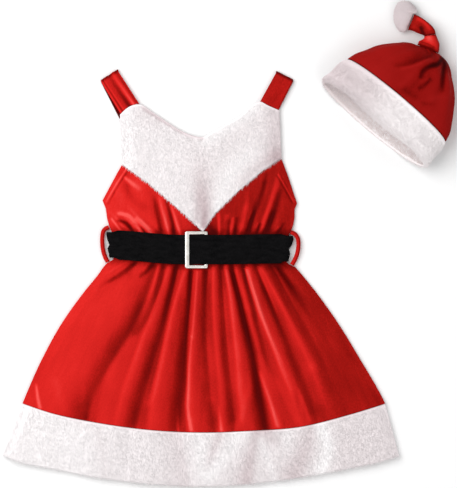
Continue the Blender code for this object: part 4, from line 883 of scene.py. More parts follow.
def rounded(line):
    """The same line with its bends rounded."""
    if len(line) < 3:
        return line
    across, down = zip(*line)
    run = np.insert(np.cumsum(np.hypot(np.diff(across), np.diff(down))), 0, 0)
    at = np.linspace(0, run[-1], LINE_STEPS * (len(line) - 1) + 1)
    return list(zip(through(list(zip(run, across)), at), through(list(zip(run, down)), at)))


def to_line(line, x, y):
    """Distance of each point from an open line, below 0 on its left, and the share passed there."""
    line = rounded(line)
    best = np.full(np.broadcast(x, y).shape, 1e9)
    share = np.zeros(best.shape)
    lengths = [np.hypot(b[0] - a[0], b[1] - a[1]) for a, b in zip(line, line[1:])]
    run = np.insert(np.cumsum(lengths), 0, 0)
    for k, ((ax, ay), (bx, by)) in enumerate(zip(line, line[1:])):
        dx, dy = bx - ax, by - ay
        t = np.clip(((x - ax) * dx + (y - ay) * dy) / (dx * dx + dy * dy), 0, 1)
        away = np.hypot(x - ax - t * dx, y - ay - t * dy)
        turn = np.where(dx * (y - ay) - dy * (x - ax) < 0, -1, 1)
        nearer = away < abs(best)
        share = np.where(nearer, mix(run[k], run[k + 1], t) / run[-1], share)
        best = np.where(nearer, away * turn, best)
    return best, share


def creases(table, x, y):
    """Ridges and troughs along given lines, which rise and fade towards their ends."""
    total = np.zeros(np.broadcast(x, y).shape)
    for crease in table:
        away, share = to_line(crease.line, x, y)
        taper = 1.0
        if abs(crease.line[0][1]) > BELT_REACH:
            taper = smooth(share / CREASE_TAPER)
        if abs(crease.line[-1][1]) > BELT_REACH:
            taper = taper * smooth((1 - share) / CREASE_TAPER)
        total = total + crease.high * taper * bell(away / crease.wide)
    return total


def painted_shading(table, x, y):
    """Sum of the painted light and shade of the tones at each point."""
    total = np.zeros(np.broadcast(x, y).shape)
    for tone in table:
        away, share = to_line(tone.line, x, y)
        left, right = mix(tone.left, tone.left_end, share), mix(tone.right, tone.right_end, share)
        total = total + mix(tone.start, tone.end, share) * bell(away / np.where(away < 0, left, right))
    return total


def noise(u, v, size, seed):
    """Smooth random heights between -1 and 1, with bumps about as wide as the given size."""
    table = np.random.default_rng(seed).uniform(-1, 1, (257, 257))
    p, q = u / size, v / size
    i, j = np.floor(p).astype(int), np.floor(q).astype(int)
    f, g = smooth(p - i), smooth(q - j)
    i, j = i % 256, j % 256
    top = mix(table[i, j], table[i + 1, j], f)
    return mix(top, mix(table[i, j + 1], table[i + 1, j + 1], f), g)


def bumpy(layers, x, y):
    """Sum of the layers of soft unevenness."""
    return sum(layer.high * noise(x, y * layer.draw, layer.size, layer.seed) for layer in layers)


def edged(count, length, steps):
    """Places from 0 to 1 along a length, with the given short steps at both ends."""
    near = np.array(steps) / length
    middle = np.linspace(near[-1], 1 - near[-1], count)
    return np.concatenate([near[:-1], middle, 1 - near[-2::-1]])


def from_rim(x, y):
    """Distance of each grid point from the grid's sides, along its own row or column."""
    best = np.full(x.shape, 1e9)
    for axis in (0, 1):
        step = np.hypot(np.diff(x, axis=axis), np.diff(y, axis=axis))
        run = np.insert(np.cumsum(step, axis=axis), 0, 0, axis=axis)
        total = np.take(run, [-1], axis=axis)
        best = np.minimum(best, np.minimum(run, total - run))
    return best


def rounding(away, radius):
    """Share of the full thickness near an edge that is rounded with this radius."""
    t = np.clip(away / radius, 0, 1)
    return RIM_LEFT + (1 - RIM_LEFT) * np.sqrt(1 - (1 - t) ** 2)


def relief(z, steps):
    """How far each point stands above its surroundings, or below them."""
    soft = z.copy()
    for _ in range(steps):
        around = soft[:-2, 1:-1] + soft[2:, 1:-1] + soft[1:-1, :-2] + soft[1:-1, 2:]
        soft[1:-1, 1:-1] = around / 4
        soft[0], soft[-1] = soft[1], soft[-2]
        soft[:, 0], soft[:, -1] = soft[:, 1], soft[:, -2]
    return z - soft


# ---- Materials ----


class Tree:
    """A material and short calls for its nodes."""

    def __init__(self, name, roughness, **sockets):
        self.made = bpy.data.materials.new(name)
        self.made.use_nodes = True
        self.nodes, self.links = self.made.node_tree.nodes, self.made.node_tree.links
        self.shader = self.nodes["Principled BSDF"]
        self.shader.inputs["Roughness"].default_value = roughness
        for socket, value in sockets.items():
            self.shader.inputs[socket.replace("_", " ")].default_value = value

    def put(self, value, socket):
        if isinstance(value, bpy.types.NodeSocket):
            self.links.new(value, socket)
        else:
            socket.default_value = value

    def node(self, kind, **sockets):
        """A new node with a value or a link in each named input."""
        node = self.nodes.new("ShaderNode" + kind)
        for socket, value in sockets.items():
            self.put(value, node.inputs[socket.replace("_", " ")])
        return node

    def field(self, name, output="Fac"):
        node = self.node("Attribute")
        node.attribute_name = name
        return node.outputs[output]

    def place(self):
        return self.node("TexCoord").outputs["Object"]

    def math(self, operation, a, b):
        node = self.node("Math")
        node.operation = operation
        self.put(a, node.inputs[0])
        self.put(b, node.inputs[1])
        return node.outputs[0]

    def add(self, first, *others):
        for other in others:
            first = self.math("ADD", first, other)
        return first

    def times(self, value, share):
        return self.math("MULTIPLY", value, share)

    def centred(self, value, share):
        """A value from 0 to 1 as one round 0, times a share."""
        return self.times(self.math("SUBTRACT", value, 0.5), share)

    def scaled(self, vector, factors):
        """A place with each direction scaled, so that the noise read there is drawn out."""
        node = self.node("VectorMath")
        node.operation = "MULTIPLY"
        self.put(vector, node.inputs[0])
        node.inputs[1].default_value = factors
        return node.outputs[0]

    def noise(self, vector, scale, detail=2.0, rough=0.5):
        node = self.node("TexNoise", Vector=vector, Scale=scale, Detail=detail, Roughness=rough)
        return node.outputs["Fac"]

    def ramp(self, value, stops):
        node = self.node("ValToRGB")
        ramp = node.color_ramp
        while len(ramp.elements) < len(stops):
            ramp.elements.new(0.5)
        for element, (at, colour) in zip(ramp.elements, stops):
            element.position = at
            element.color = (*colour, 1.0)
        self.put(value, node.inputs[0])
        return node.outputs[0]

    def spread(self, value, low, high):
        """A value from 0 to 1 mapped to a range."""
        return self.node("MapRange", Value=value, To_Min=low, To_Max=high).outputs[0]

    def bump(self, height, strength, distance):
        node = self.node("Bump", Strength=strength, Distance=distance, Height=height)
        self.links.new(node.outputs[0], self.shader.inputs["Normal"])

    def colour(self, socket):
        self.links.new(socket, self.shader.inputs["Base Color"])

    def rough(self, socket):
        self.links.new(socket, self.shader.inputs["Roughness"])


def velour(name, tones):
    """Red velour: painted shade in troughs, painted light on ridges, streaky along the fall."""
    tree = Tree(
        name, 0.5, Specular_IOR_Level=0.025, Sheen_Weight=0.03, Sheen_Roughness=0.35,
        Sheen_Tint=(1.0, 0.30, 0.26, 1.0),
    )
    cloth = tree.field("cloth", "Vector")
    streaks = tree.noise(tree.scaled(cloth, (1.0, 0.12, 1.0)), scale=260.0, detail=3.0)
    clouds = tree.noise(tree.scaled(cloth, (1.0, 0.45, 1.0)), scale=38.0)
    grain = tree.noise(tree.scaled(tree.place(), (1.0, 0.6, 1.0)), scale=850.0)
    uneven = tree.centred(streaks, 0.22), tree.centred(clouds, 0.45), tree.centred(grain, 0.4)
    shade = tree.add(tree.field("fold"), *uneven)
    tree.colour(tree.ramp(tree.add(tree.times(shade, 0.5), 0.5), tones))
    tree.rough(tree.spread(streaks, low=0.55, high=0.75))
    pile_noise = tree.noise(tree.place(), PILE_GRAIN, rough=0.6)
    tree.bump(tree.add(pile_noise, tree.times(streaks, 0.8)), strength=0.35, distance=0.0006)
    return tree.made


def plush_base(name, low, high):
    """White plush under its pile: soft lumps with painted shade between them, over painted tones."""
    tree = Tree(name, 0.95, **PLUSH_SHINE)
    lumps = tree.noise(tree.place(), scale=420.0, detail=3.0, rough=0.6)
    shade = tree.add(tree.field("tone"), tree.centred(lumps, 0.05))
    tree.colour(tree.ramp(shade, [(0.0, low), (1.0, high)]))
    tree.bump(lumps, strength=0.05, distance=0.0006)
    return tree.made


def plush_pile(name, low, high):
    """The pile itself: each strand has its own tone, with painted shade at its root."""
    tree = Tree(name, 0.9, **PLUSH_SHINE)
    tree.colour(tree.ramp(tree.field("tone"), [(0.0, low), (1.0, high)]))
    return tree.made


def black_velvet():
    """The belt's velvet, streaky along its length."""
    tree = Tree(
        "black_velvet", 0.6, Specular_IOR_Level=0.02, Sheen_Weight=0.01, Sheen_Roughness=0.3,
        Sheen_Tint=(0.8, 0.85, 0.9, 1.0),
    )
    cloth = tree.field("cloth", "Vector")
    streaks = tree.noise(tree.scaled(cloth, (0.35, 1.0, 1.0)), scale=240.0, detail=3.0)
    grain = tree.noise(tree.place(), scale=900.0)
    shade = tree.add(tree.times(streaks, 0.5), tree.times(grain, 0.5))
    tree.colour(tree.ramp(shade, VELVET_TONES))
    tree.rough(tree.spread(streaks, low=0.5, high=0.8))
    pile_noise = tree.noise(tree.place(), PILE_GRAIN, rough=0.6)
    tree.bump(pile_noise, strength=0.3, distance=0.0005)
    return tree.made


def silver():
    """Plated buckle: fine brushing along the bars, and a colour that varies at random."""
    tree = Tree("silver_plate", 0.3, Metallic=0.9, Specular_IOR_Level=0.5)
    brushing = tree.noise(tree.scaled(tree.place(), (1.0, 0.08, 1.0)), scale=2600.0)
    tree.colour(tree.ramp(tree.noise(tree.place(), scale=160.0), SILVER_TONES))
    tree.rough(tree.spread(brushing, low=0.24, high=0.42))
    tree.bump(brushing, strength=0.12, distance=0.0002)
    return tree.made


# ---- Meshes ----


def added(name, data):
    """A new object in the scene."""
    piece = bpy.data.objects.new(name, data)
    bpy.context.scene.collection.objects.link(piece)
    return piece


def mesh_of(name, points, faces, material, fields):
    """A piece from points in millimetres, with one attribute for each named field."""
    mesh = bpy.data.meshes.new(name)
    points = np.array(points, float)
    points[:, 2] = np.maximum(points[:, 2], 0)
    mesh.from_pydata((points * MM).tolist(), [], faces)
    for field, values in fields.items():
        kind, key = ("FLOAT", "value") if values.ndim == 1 else ("FLOAT_VECTOR", "vector")
        made = mesh.attributes.new(field, kind, "POINT")
        made.data.foreach_set(key, np.ascontiguousarray(values, np.float32).ravel())
    mesh.materials.append(material)
    return added(name, mesh)


def outward(piece):
    """Turns all faces outward and shades them smooth."""
    shape = bmesh.new()
    shape.from_mesh(piece.data)
    bmesh.ops.recalc_face_normals(shape, faces=shape.faces)
    shape.to_mesh(piece.data)
    shape.free()
    piece.data.shade_smooth()
    return piece


def grid_faces(rows, columns, start=0, closed=False, flip=False):
    """Squares between the points of a grid. A closed one joins its last column to its first."""
    wide = columns if closed else columns - 1
    i, j = np.meshgrid(np.arange(rows - 1), np.arange(wide), indexing="ij")
    here, below = i * columns, (i + 1) * columns
    k = (j + 1) % columns
    faces = np.stack([here + j, below + j, below + k, here + k], -1).reshape(-1, 4) + start
    return (faces[:, ::-1] if flip else faces).tolist()


def listed(fields, count):
    """The same fields with one row for each point."""
    rows = {field: values.reshape(count, -1) for field, values in fields.items()}
    return {field: values[:, 0] if values.shape[1] == 1 else values for field, values in rows.items()}


def cloth_at(across, down):
    """Places on the cloth in metres, for the streaks of its material."""
    return np.stack(np.broadcast_arrays(across * MM, down * MM, 0.0), axis=-1)


def wall(name, outer, inner, material, fields, closed=False):
    """A wall of cloth between two grids of points. A closed one runs round, like a tube."""
    rows, columns = outer.shape[:2]
    count = rows * columns
    faces = grid_faces(rows, columns, closed=closed)
    faces += grid_faces(rows, columns, count, closed, flip=True)
    rim = [[(0, j) for j in range(columns)], [(rows - 1, j) for j in range(columns)]]
    if closed:
        rim = [line + line[:1] for line in rim]
    else:
        rim += [[(i, 0) for i in range(rows)], [(i, columns - 1) for i in range(rows)]]
    for line in rim:
        for (i, j), (k, m) in zip(line, line[1:]):
            a, b = i * columns + j, k * columns + m
            faces.append([a, b, b + count, a + count])
    points = np.concatenate([outer.reshape(-1, 3), inner.reshape(-1, 3)])
    both = {field: np.concatenate([rows, rows]) for field, rows in listed(fields, count).items()}
    return outward(mesh_of(name, points, faces, material, both))


def tube(name, rings, material, fields, closed=False):
    """A solid through rings of points, with a cap at each end unless it is closed."""
    rows, columns = rings.shape[:2]
    count = rows * columns
    faces = grid_faces(rows + 1 if closed else rows, columns, closed=True)
    faces = [[v % count for v in face] for face in faces]
    if not closed:
        faces += [list(range(columns)), [(rows - 1) * columns + j for j in range(columns)]]
    return outward(mesh_of(name, rings.reshape(-1, 3), faces, material, listed(fields, count)))


def declare(piece, slot, *nodes):
    """States what a piece rides on and hides the nodes that it stands for; the slot is not used."""
    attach(piece, "root")
    if nodes:
        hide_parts(*nodes)


def pile(name, outer, facing, material, shade, short=None):
    """Plush pile on a grid of points: slender closed strands that lean along the nap in clumps."""
    count, length, nap_and_painted_shade, lean, seed, lift = PILES[name]
    random = np.random.default_rng(seed)
    down = outer[1:, :-1] - outer[:-1, :-1]
    over = outer[:-1, 1:] - outer[:-1, :-1]
    square = np.cross(down, over)
    area = np.linalg.norm(square, axis=-1)
    cell = random.choice(area.size, count, p=(area / area.sum()).ravel())
    i, j = np.divmod(cell, area.shape[1])
    s, t = random.random((2, count, 1))
    root = (outer[i, j] * (1 - s) * (1 - t) + outer[i + 1, j] * s * (1 - t)
            + outer[i, j + 1] * (1 - s) * t + outer[i + 1, j + 1] * s * t)
    up = square[i, j] / np.maximum(area[i, j], 1e-9)[:, None]
    away = facing[i, j] if np.ndim(facing) == 3 else np.asarray(facing, float)
    up = up * np.where((up * away).sum(axis=1, keepdims=True) < 0, -1, 1)
    along = np.broadcast_to(np.asarray(nap_and_painted_shade, float), root.shape)
    across = np.cross(up, along)
    swirl = SWIRL * noise(root[:, 0] + root[:, 2], root[:, 1], CLUMP, seed + 1)
    bend = noise(root[:, 0] + 40, root[:, 1] + root[:, 2], BEND_CLUMP, seed + 2)
    tall = length * random.uniform(*STRAND_TALL, count) * (1 + TALL_BEND * bend)
    if short:
        tall = tall * short(root)
    way = up + along * (lean * (1 + LEAN_BEND * bend))[:, None] + across * swirl[:, None]
    way = unit(way + random.normal(0, STRAND_STRAY, way.shape))
    flank = unit(np.cross(way, up + 1e-3))
    third = np.cross(way, flank)
    thick = STRAND * random.uniform(*STRAND_THICK, (count, 1))
    foot = root - up * STRAND_SUNK
    ring = [foot + thick * (flank * cos(turn) + third * sin(turn)) for turn in STRAND_TURNS]
    points = np.stack([*ring, root + way * tall[:, None]], axis=1).reshape(-1, 3)
    points[:, 2] = np.maximum(points[:, 2], STRAND_LEAST_Z)
    base = (np.arange(count) * 4)[:, None]
    faces = np.concatenate([base + f for f in ([0, 1, 3], [1, 2, 3], [2, 0, 3], [0, 2, 1])])
    # Each strand's tone: painted light and shade from the table, painted shade at the root, painted light
    # at the tip
    own = PLUSH_TONE + TONE_BEND * bend + random.normal(0, TONE_SPREAD, count) + shade(root)
    tone = np.stack([own - ROOT_SHADE] * 3 + [own + END_LIGHT], axis=1).ravel()
    piece = mesh_of(name, points, faces.tolist(), material, {"tone": np.clip(tone, 0, 1)})
    soft = unit(up * (PILE_SOFT - lift) + way * (1 - PILE_SOFT) + np.array([0, 0, lift]))
    piece.data.shade_smooth()
    piece.data.normals_split_custom_set_from_vertices(np.repeat(soft, 4, axis=0).tolist())
    declare(piece, "white_plush")


def nap_and_painted_shade(x, y, wave, steps):
    """Painted light and shade of the velour: troughs painted dark, crests painted light, the painted tones
    of its table, and a painted shadow beside the belt.
    """
    broad = np.clip((WAVE_PART * wave + RELIEF_PART * relief(wave, steps)) / WAVE_SHADE, -1, 1)
    fine = np.clip(relief(wave, FINE_STEPS) / FINE_HIGH, -1, 1)
    # Painted shadow beside the belt
    shaded = BELT_SHADE * (1 - smooth(past_belt(x, y) / BELT_SHADE_RUN))
    table = SKIRT_TONES if y.min() < SKIRT_FROM else BODICE_TONES
    return np.clip(FOLD_SHADE * broad + FINE_SHADE * fine + painted_shading(table, x, y) - shaded, -1, 1)


def cloth_field(x, y):
    """Places on the cloth of the dress, spread along the flare of the skirt."""
    return cloth_at(x / (WAIST_HALF + FLARE * np.maximum(-y, 0)) * STREAK_HALF, y)


# ---- The dress ----


def rimmed(under, x, y, thick, radius):
    """Lower and upper face of a panel, with its rim rounded."""
    share = rounding(from_rim(x, y), radius)
    lower = under + thick * (1 - share) / 2
    return on_dress(x, y, lower), on_dress(x, y, lower + thick * share)


def velour_front(name, x, y, looks, steps):
    """A front panel of velour over its plan grid, for the node of the same name."""
    low, top = rimmed(front_under(x, y), x, y, VELOUR, VELOUR / 2)
    # The fold field holds the velour's painted light and shade
    fields = {"fold": nap_and_painted_shade(x, y, front_wave(x, y), steps), "cloth": cloth_field(x, y)}
    declare(wall("velour_" + name, top, low, looks["red"], fields), "red_velour", name)


def plush_front(name, node, x, y, looks, extra, tones):
    """A front panel of plush. It returns the grid of its upper face, where the pile stands."""
    low, top = rimmed(front_under(x, y) + extra, x, y, PLUSH - PILE_ROOM, PLUSH / 2)
    # The ground's tone holds painted light and shade from its table
    fields = {"tone": GROUND_TONE + painted_shading(tones, x, y)}
    declare(wall(name, top, low, looks["plush"], fields), "white_plush", node)
    return top


def back_panel(cloth, name, x, y, thick, radius, looks):
    """A panel of the back, which lies on the surface, for the node of the same name."""
    under = back_under(x, y)
    low, top = rimmed(under, x, y, thick, radius)
    # Painted shade in the back's troughs and painted light on its crests
    fold = np.clip(relief(under, BACK_RELIEF) / BACK_RELIEF_HIGH, -1, 1)
    fields = {"fold": fold, "cloth": cloth_field(x, y)}
    fields["tone"] = GROUND_TONE + 0.0 * x
    look, slot = ("red", "red_velour") if cloth == "velour" else ("plush", "white_plush")
    declare(wall(f"{cloth}_{name}", top, low, looks[look], fields), slot, name)


def skirt_grid(rows, columns, inset):
    """Fan of rows from the waist seam to the hem seam."""
    along = edged(rows, SKIRT_LONG, SOFT_EDGE)
    across = edged(columns, SKIRT_WIDE, SOFT_EDGE)
    left, right = HEM_SEAM[0], HEM_SEAM[-1]
    seam = through(HEM_SEAM, mix(left.x, right.x, across)) + SEAM * 0.75
    y = -SEAM / 2 + np.outer(along, seam + SEAM / 2)
    corner = -SEAM / 2 + along * (left.y + SEAM)
    start = side("left", corner)[:, None] + inset
    end = side("right", corner)[:, None] - inset
    return mix(start, end, across), y


def hem_grid(rows, columns, inset):
    """Rows of the hem band from its seam to its lower edge."""
    across = edged(columns, HEM_LONG, PLUSH_EDGE)
    along = edged(rows, HEM_DEEP, PLUSH_EDGE)[:, None]
    seam_x = mix(HEM_SEAM[0].x, HEM_SEAM[-1].x, across)
    low_x = mix(HEM_LOW[0].x, HEM_LOW[-1].x, across)
    seam_y = through(HEM_SEAM, seam_x) - SEAM / 2
    x = mix(seam_x, low_x, along)
    y = mix(seam_y, through(HEM_LOW, low_x) + inset, along)
    middle = (HEM_LOW[0].x + HEM_LOW[-1].x) / 2
    return middle + (x - middle) * (1 - inset / HEM_LOW[-1].x), y


def dress_shade(table):
    """Painted light and shade at places of the set, from a table in the dress's own places."""
    return lambda place: painted_shading(table, place[..., 0] - DRESS_AT[0], place[..., 1] - DRESS_AT[1])


def hat_shade(table):
    """The same for a table in the hat's own places."""
    def shade(place):
        x, y = place[..., 0] - HAT_AT[0], place[..., 1] - HAT_AT[1]
        a = x * cos(HAT_TURN) + y * sin(HAT_TURN)
        return painted_shading(table, a, y * cos(HAT_TURN) - x * sin(HAT_TURN))
    return shade


def build_skirt(looks):
    """Skirt and hem band, front and back."""
    velour_front("skirt_front", *skirt_grid(rows=112, columns=262, inset=0), looks, steps=90)
    x, y = skirt_grid(rows=56, columns=110, inset=BACK_INSET)
    back_panel("velour", "skirt_back", x, y, VELOUR, VELOUR / 2, looks)
    x, y = hem_grid(rows=34, columns=300, inset=0)
    top = plush_front("plush_hem_front", "hem_front", x, y, looks, bumpy(HEM_BUMPS, x, y), HEM_TONES)
    pile("pile_hem_front", top, UP, looks["pile"], dress_shade(HEM_TONES))
    x, y = hem_grid(rows=18, columns=130, inset=BACK_INSET)
    back_panel("plush", "hem_back", x, y, PLUSH - BACK_PILE_ROOM, PLUSH / 2, looks)


def bib_grid():
    """Grid over the bib, with one column through the low point of the neckline and of the V."""
    half = np.linspace(0, 1, BIB_HALF)
    near = np.array(PLUSH_EDGE) / BIB_LONG
    half = np.concatenate([near[:-1], mix(near[-1], 1, half)])
    across = np.concatenate([BIB_TIP * half, 1 - (1 - BIB_TIP) * half[-2::-1]])
    top_x = mix(BIB_TOP[0].x, BIB_TOP[-1].x, across)
    low_x = mix(BIB_LOW[0].x, BIB_LOW[-1].x, across)
    along = edged(BIB_ROWS, BIB_LONG, PLUSH_EDGE)[:, None]
    return mix(top_x, low_x, along), mix(through(BIB_TOP, top_x), straight(BIB_LOW, low_x), along)


def build_bib(looks):
    """The bib, whose pile gets shorter towards the V."""
    x, y = bib_grid()
    shape = bumpy(BIB_BUMPS, x, y) + creases(BIB_CREASES, x, y)
    shape = shape - creases(BODICE_CREASES, x, y) * BIB_CALM
    top = plush_front("plush_bib", "bib_front", x, y, looks, shape, BIB_TONES)

    def short(root):
        return 0.35 + 0.65 * smooth((root[:, 1] - DRESS_AT[1] - BIB_LOW[4].y) / 14)

    pile("pile_bib", top, UP, looks["pile"], dress_shade(BIB_TONES), short)


def below_bib(x):
    """y of the bodice's edge, one seam below the bib's V."""
    slope = (straight(BIB_LOW, x + 1) - straight(BIB_LOW, x - 1)) / 2
    return straight(BIB_LOW, x) - STRAP_SEAM * np.hypot(1, slope)


def resampled(table, count, length):
    """Columns of a table, read at the given count of places down it."""
    run = np.linspace(0, 1, len(table))
    fine = edged(count, length, SOFT_EDGE)
    return [np.interp(fine, run, column)[:, None] for column in table.T]


def bodice_grid(rows, columns, count):
    """Rows from the armhole corner to the waist, resampled to the given count."""
    table = np.array(rows)
    table[:, 3] = np.minimum(table[:, 3], below_bib(table[:, 2]))
    outer_x, outer_y, inner_x, inner_y = resampled(table, count, BODICE_LONG)
    across = edged(columns, BODICE_WIDE, SOFT_EDGE)
    return mix(outer_x, inner_x, across), mix(outer_y, inner_y, across)


def build_bodice(looks):
    """The two bodice fronts and the bodice's back."""
    for name, rows in (("bodice_front_left", BODICE_LEFT), ("bodice_front_right", BODICE_RIGHT)):
        velour_front(name, *bodice_grid(rows, columns=72, count=76), looks, steps=30)
    y, left, right = resampled(np.array(BACK_BODICE), count=60, length=BACK_LONG)
    across = edged(72, BACK_WIDE, SOFT_EDGE)
    x, y = mix(left, right, across), y + 0 * across
    back_panel("velour", "bodice_back", x, y, VELOUR, VELOUR / 2, looks)


def build_strap(strap, looks):
    """One strip: up from the bib, over the shoulder fold, and down behind to the back bodice."""
    across = edged(STRAP_ACROSS, STRAP_WIDE, SOFT_EDGE)
    fold_x = mix(strap.outer_x, strap.inner_x, across)
    fold_y = mix(strap.outer_y, strap.inner_y, across)
    seam_x = mix(strap.seam_outer, strap.seam_inner, across)
    seam_y = through(BIB_TOP, seam_x) + STRAP_SEAM
    half_width = abs(strap.inner_x - strap.outer_x) / 2
    back_x = strap.back_x + np.sign(strap.inner_x - strap.outer_x) * half_width * (2 * across - 1)
    radius = (STRAP + STRAP_GAP) / 2
    high = STRAP / 2 + 2 * radius
    seam_z = front_under(seam_x, seam_y) + STRAP / 2
    turn_y = fold_y - (radius + STRAP / 2)
    rows = []
    for t in np.linspace(0, 1, STRAP_UP):
        rows.append(on_dress(mix(seam_x, fold_x, t), mix(seam_y, turn_y, t), mix(seam_z, high, t)))
    for turn in np.linspace(0, pi, STRAP_TURN)[1:-1]:
        z = STRAP / 2 + radius + radius * cos(turn)
        rows.append(on_dress(fold_x, turn_y + radius * sin(turn), z))
    for t in np.linspace(0, 1, STRAP_DOWN):
        rows.append(on_dress(mix(fold_x, back_x, t), mix(turn_y, BACK_TOP + STRAP_SEAM, t), STRAP / 2))
    middle = np.array(rows)
    normal = unit(np.cross(np.gradient(middle, axis=0), np.gradient(middle, axis=1)))
    if normal[0, 0, 2] < 0:
        normal = -normal
    lines = STRAP_LINES[strap.name]
    near = [bell((across - line.across) / line.wide) for line in lines]
    dips = sum(line.deep * share for line, share in zip(lines, near))
    half = (STRAP / 2 * rounding(np.minimum(across, 1 - across) * STRAP_WIDE, STRAP / 2))[:, None]
    place = np.arange(len(rows))[:, None]
    up = np.clip(place / STRAP_UP, 0, 1)
    # Painted light and shade along the strap's lines, and painted shade at its shoulder fold and behind it
    fold = sum(mix(line.low, line.top, up) * share for line, share in zip(lines, near))
    fold = fold + STRAP_FOLD_SHADE * smooth((up - 0.92) / 0.08) + STRAP_BACK_SHADE * (place > STRAP_UP + 8)
    cloth = cloth_at(across * STRAP_WIDE, np.linspace(0, STRAP_LONG, len(rows))[:, None])
    fields = {"fold": np.clip(fold, -1, 1), "cloth": cloth}
    outer = middle + normal * (half - dips[:, None])
    piece = wall("velour_" + strap.name, outer, middle - normal * half, looks["red"], fields)
    declare(piece, "red_velour", strap.name)


def belt_rows(x, z, lean, across):
    """Belt strip over a path in the x-z plane, with the uneven fold of its ends."""
    reach = np.where(
        x[:, None] < 0,
        np.interp(across, *np.array(BELT_FOLD_LEFT).T),
        np.interp(across, *np.array(BELT_FOLD_RIGHT).T),
    )
    pull = (BELT_END + BELT_TURN - reach) * lean[:, None]
    px = x[:, None] - np.sign(x)[:, None] * pull
    half = (BELT_WIDTH - BELT_NARROW * lean[:, None]) / 2
    py = belt_middle(x)[:, None] + across * half
    return px, py, z[:, None] + 0 * across


def belt_top():
    """Places of the belt's visible run: under the buckle's left bar, up, and over its right bar."""
    left_bar = BUCKLE_CENTRE[0] - BUCKLE_SIZE[0] / 2
    right_bar = BUCKLE_CENTRE[0] + BUCKLE_SIZE[0] / 2 - BUCKLE_BAR
    over = BUCKLE_RIGHT_Z + BUCKLE_THICK / 2 + SEAM * 4 / 3 - BELT_UNDER
    x = np.linspace(-BELT_END, BELT_END, BELT_RUN)
    rise_from = left_bar + BUCKLE_LEFT_BAR + BELT_RISE_FROM
    rise = smooth((x - rise_from) / (right_bar - left_bar - BELT_RISE_SHORT))
    fall = smooth((x - right_bar - BUCKLE_BAR - BELT_RISE_FROM) / BELT_DOWN)
    return x, BELT_UNDER + BELT / 2 + over * (rise - fall)


def build_belt(looks):
    """The belt's front strip with its turns round the sides, and its back strip."""
    flat, middle_z = belt_top()
    end_z = BELT_UNDER + BELT / 2
    turns = np.linspace(0, pi, BELT_ROUND)[1:-1]
    reach = BELT_END + BELT_TURN * np.sin(turns)
    turn_z = (end_z + BELT / 2) / 2 + (end_z - BELT / 2) / 2 * np.cos(turns)
    tab = np.linspace(BELT_END, BELT_TAB, BELT_TAB_STEPS)
    floor = np.full(BELT_TAB_STEPS, BELT / 2)
    x = np.concatenate([-tab[::-1], -reach[::-1], flat, reach, tab])
    z = np.concatenate([floor, turn_z[::-1], middle_z, turn_z, floor])
    lean = smooth((abs(x) - BELT_TAB) / (BELT_END - BELT_TAB))
    across = 2 * edged(BELT_ACROSS, BELT_WIDTH, SOFT_EDGE) - 1
    middle = np.stack(belt_rows(x, z, lean, across), axis=-1)
    normal = unit(np.cross(np.gradient(middle, axis=0), np.gradient(middle, axis=1)))
    half = (BELT / 2 * rounding((1 - abs(across)) * BELT_WIDTH / 2, BELT / 2))[:, None]
    wave = bumpy(BELT_BUMPS, middle[..., 0], middle[..., 1])
    outer, inner = middle + normal * (half + wave[..., None] * 0.5), middle - normal * half
    run = np.insert(np.cumsum(np.hypot(np.diff(x), np.diff(z))), 0, 0)
    fields = {"cloth": cloth_at(run[:, None], across * BELT_WIDTH / 2)}
    front = wall("velvet_belt_front", dress_world(outer), dress_world(inner), looks["black"], fields)
    declare(front, "black_velvet", "belt_front")
    x = np.linspace(-BELT_TAB + SEAM, BELT_TAB - SEAM, BELT_BACK_RUN)
    px, py, pz = belt_rows(x, 0 * x, 0 * x, across)
    faces = on_dress(px, py, pz + BELT), on_dress(px, py, pz)
    back = wall("velvet_belt_back", *faces, looks["black"], {"cloth": cloth_at(px, py)})
    declare(back, "black_velvet", "belt_back")


def corner_loop(width, height, radius, centre):
    """Points round a rectangle with rounded corners."""
    points = []
    for turn, sx, sy in ((0, 1, 1), (1, -1, 1), (2, -1, -1), (3, 1, -1)):
        for k in range(CORNER_STEPS):
            angle = pi / 2 * (turn + k / (CORNER_STEPS - 1))
            points.append((
                centre[0] + sx * (width / 2 - radius) + radius * cos(angle),
                centre[1] + sy * (height / 2 - radius) + radius * sin(angle),
            ))
    return np.array(points)


def build_buckle(looks):
    """A rectangular slide, leaning down to the right, with rounded bars."""
    width, height = BUCKLE_SIZE
    outer = corner_loop(width, height, BUCKLE_CORNER, BUCKLE_CENTRE)
    inner_middle = (BUCKLE_CENTRE[0] + (BUCKLE_LEFT_BAR - BUCKLE_BAR) / 2, BUCKLE_CENTRE[1])
    inner_width = width - BUCKLE_LEFT_BAR - BUCKLE_BAR
    inner = corner_loop(inner_width, height - 2 * BUCKLE_BAR, BUCKLE_INNER_CORNER, inner_middle)
    sections = []
    for turn in np.linspace(0, 2 * pi, BUCKLE_SIDES, endpoint=False):
        share = (1 - np.sign(cos(turn)) * abs(cos(turn)) ** STRIP_FULL) / 2
        up = np.sign(sin(turn)) * abs(sin(turn)) ** STRIP_FULL
        flat = mix(outer, inner, share)
        lean = (flat[:, 0] - BUCKLE_CENTRE[0]) / width + 0.5
        z = mix(BUCKLE_LEFT_Z, BUCKLE_RIGHT_Z, lean) + up * BUCKLE_THICK / 2
        sections.append(on_dress(flat[:, 0], flat[:, 1], z))
    rings = np.array(sections).swapaxes(0, 1)
    declare(tube("plated_buckle", rings, looks["silver"], {}, closed=True), "silver_metal", "buckle")


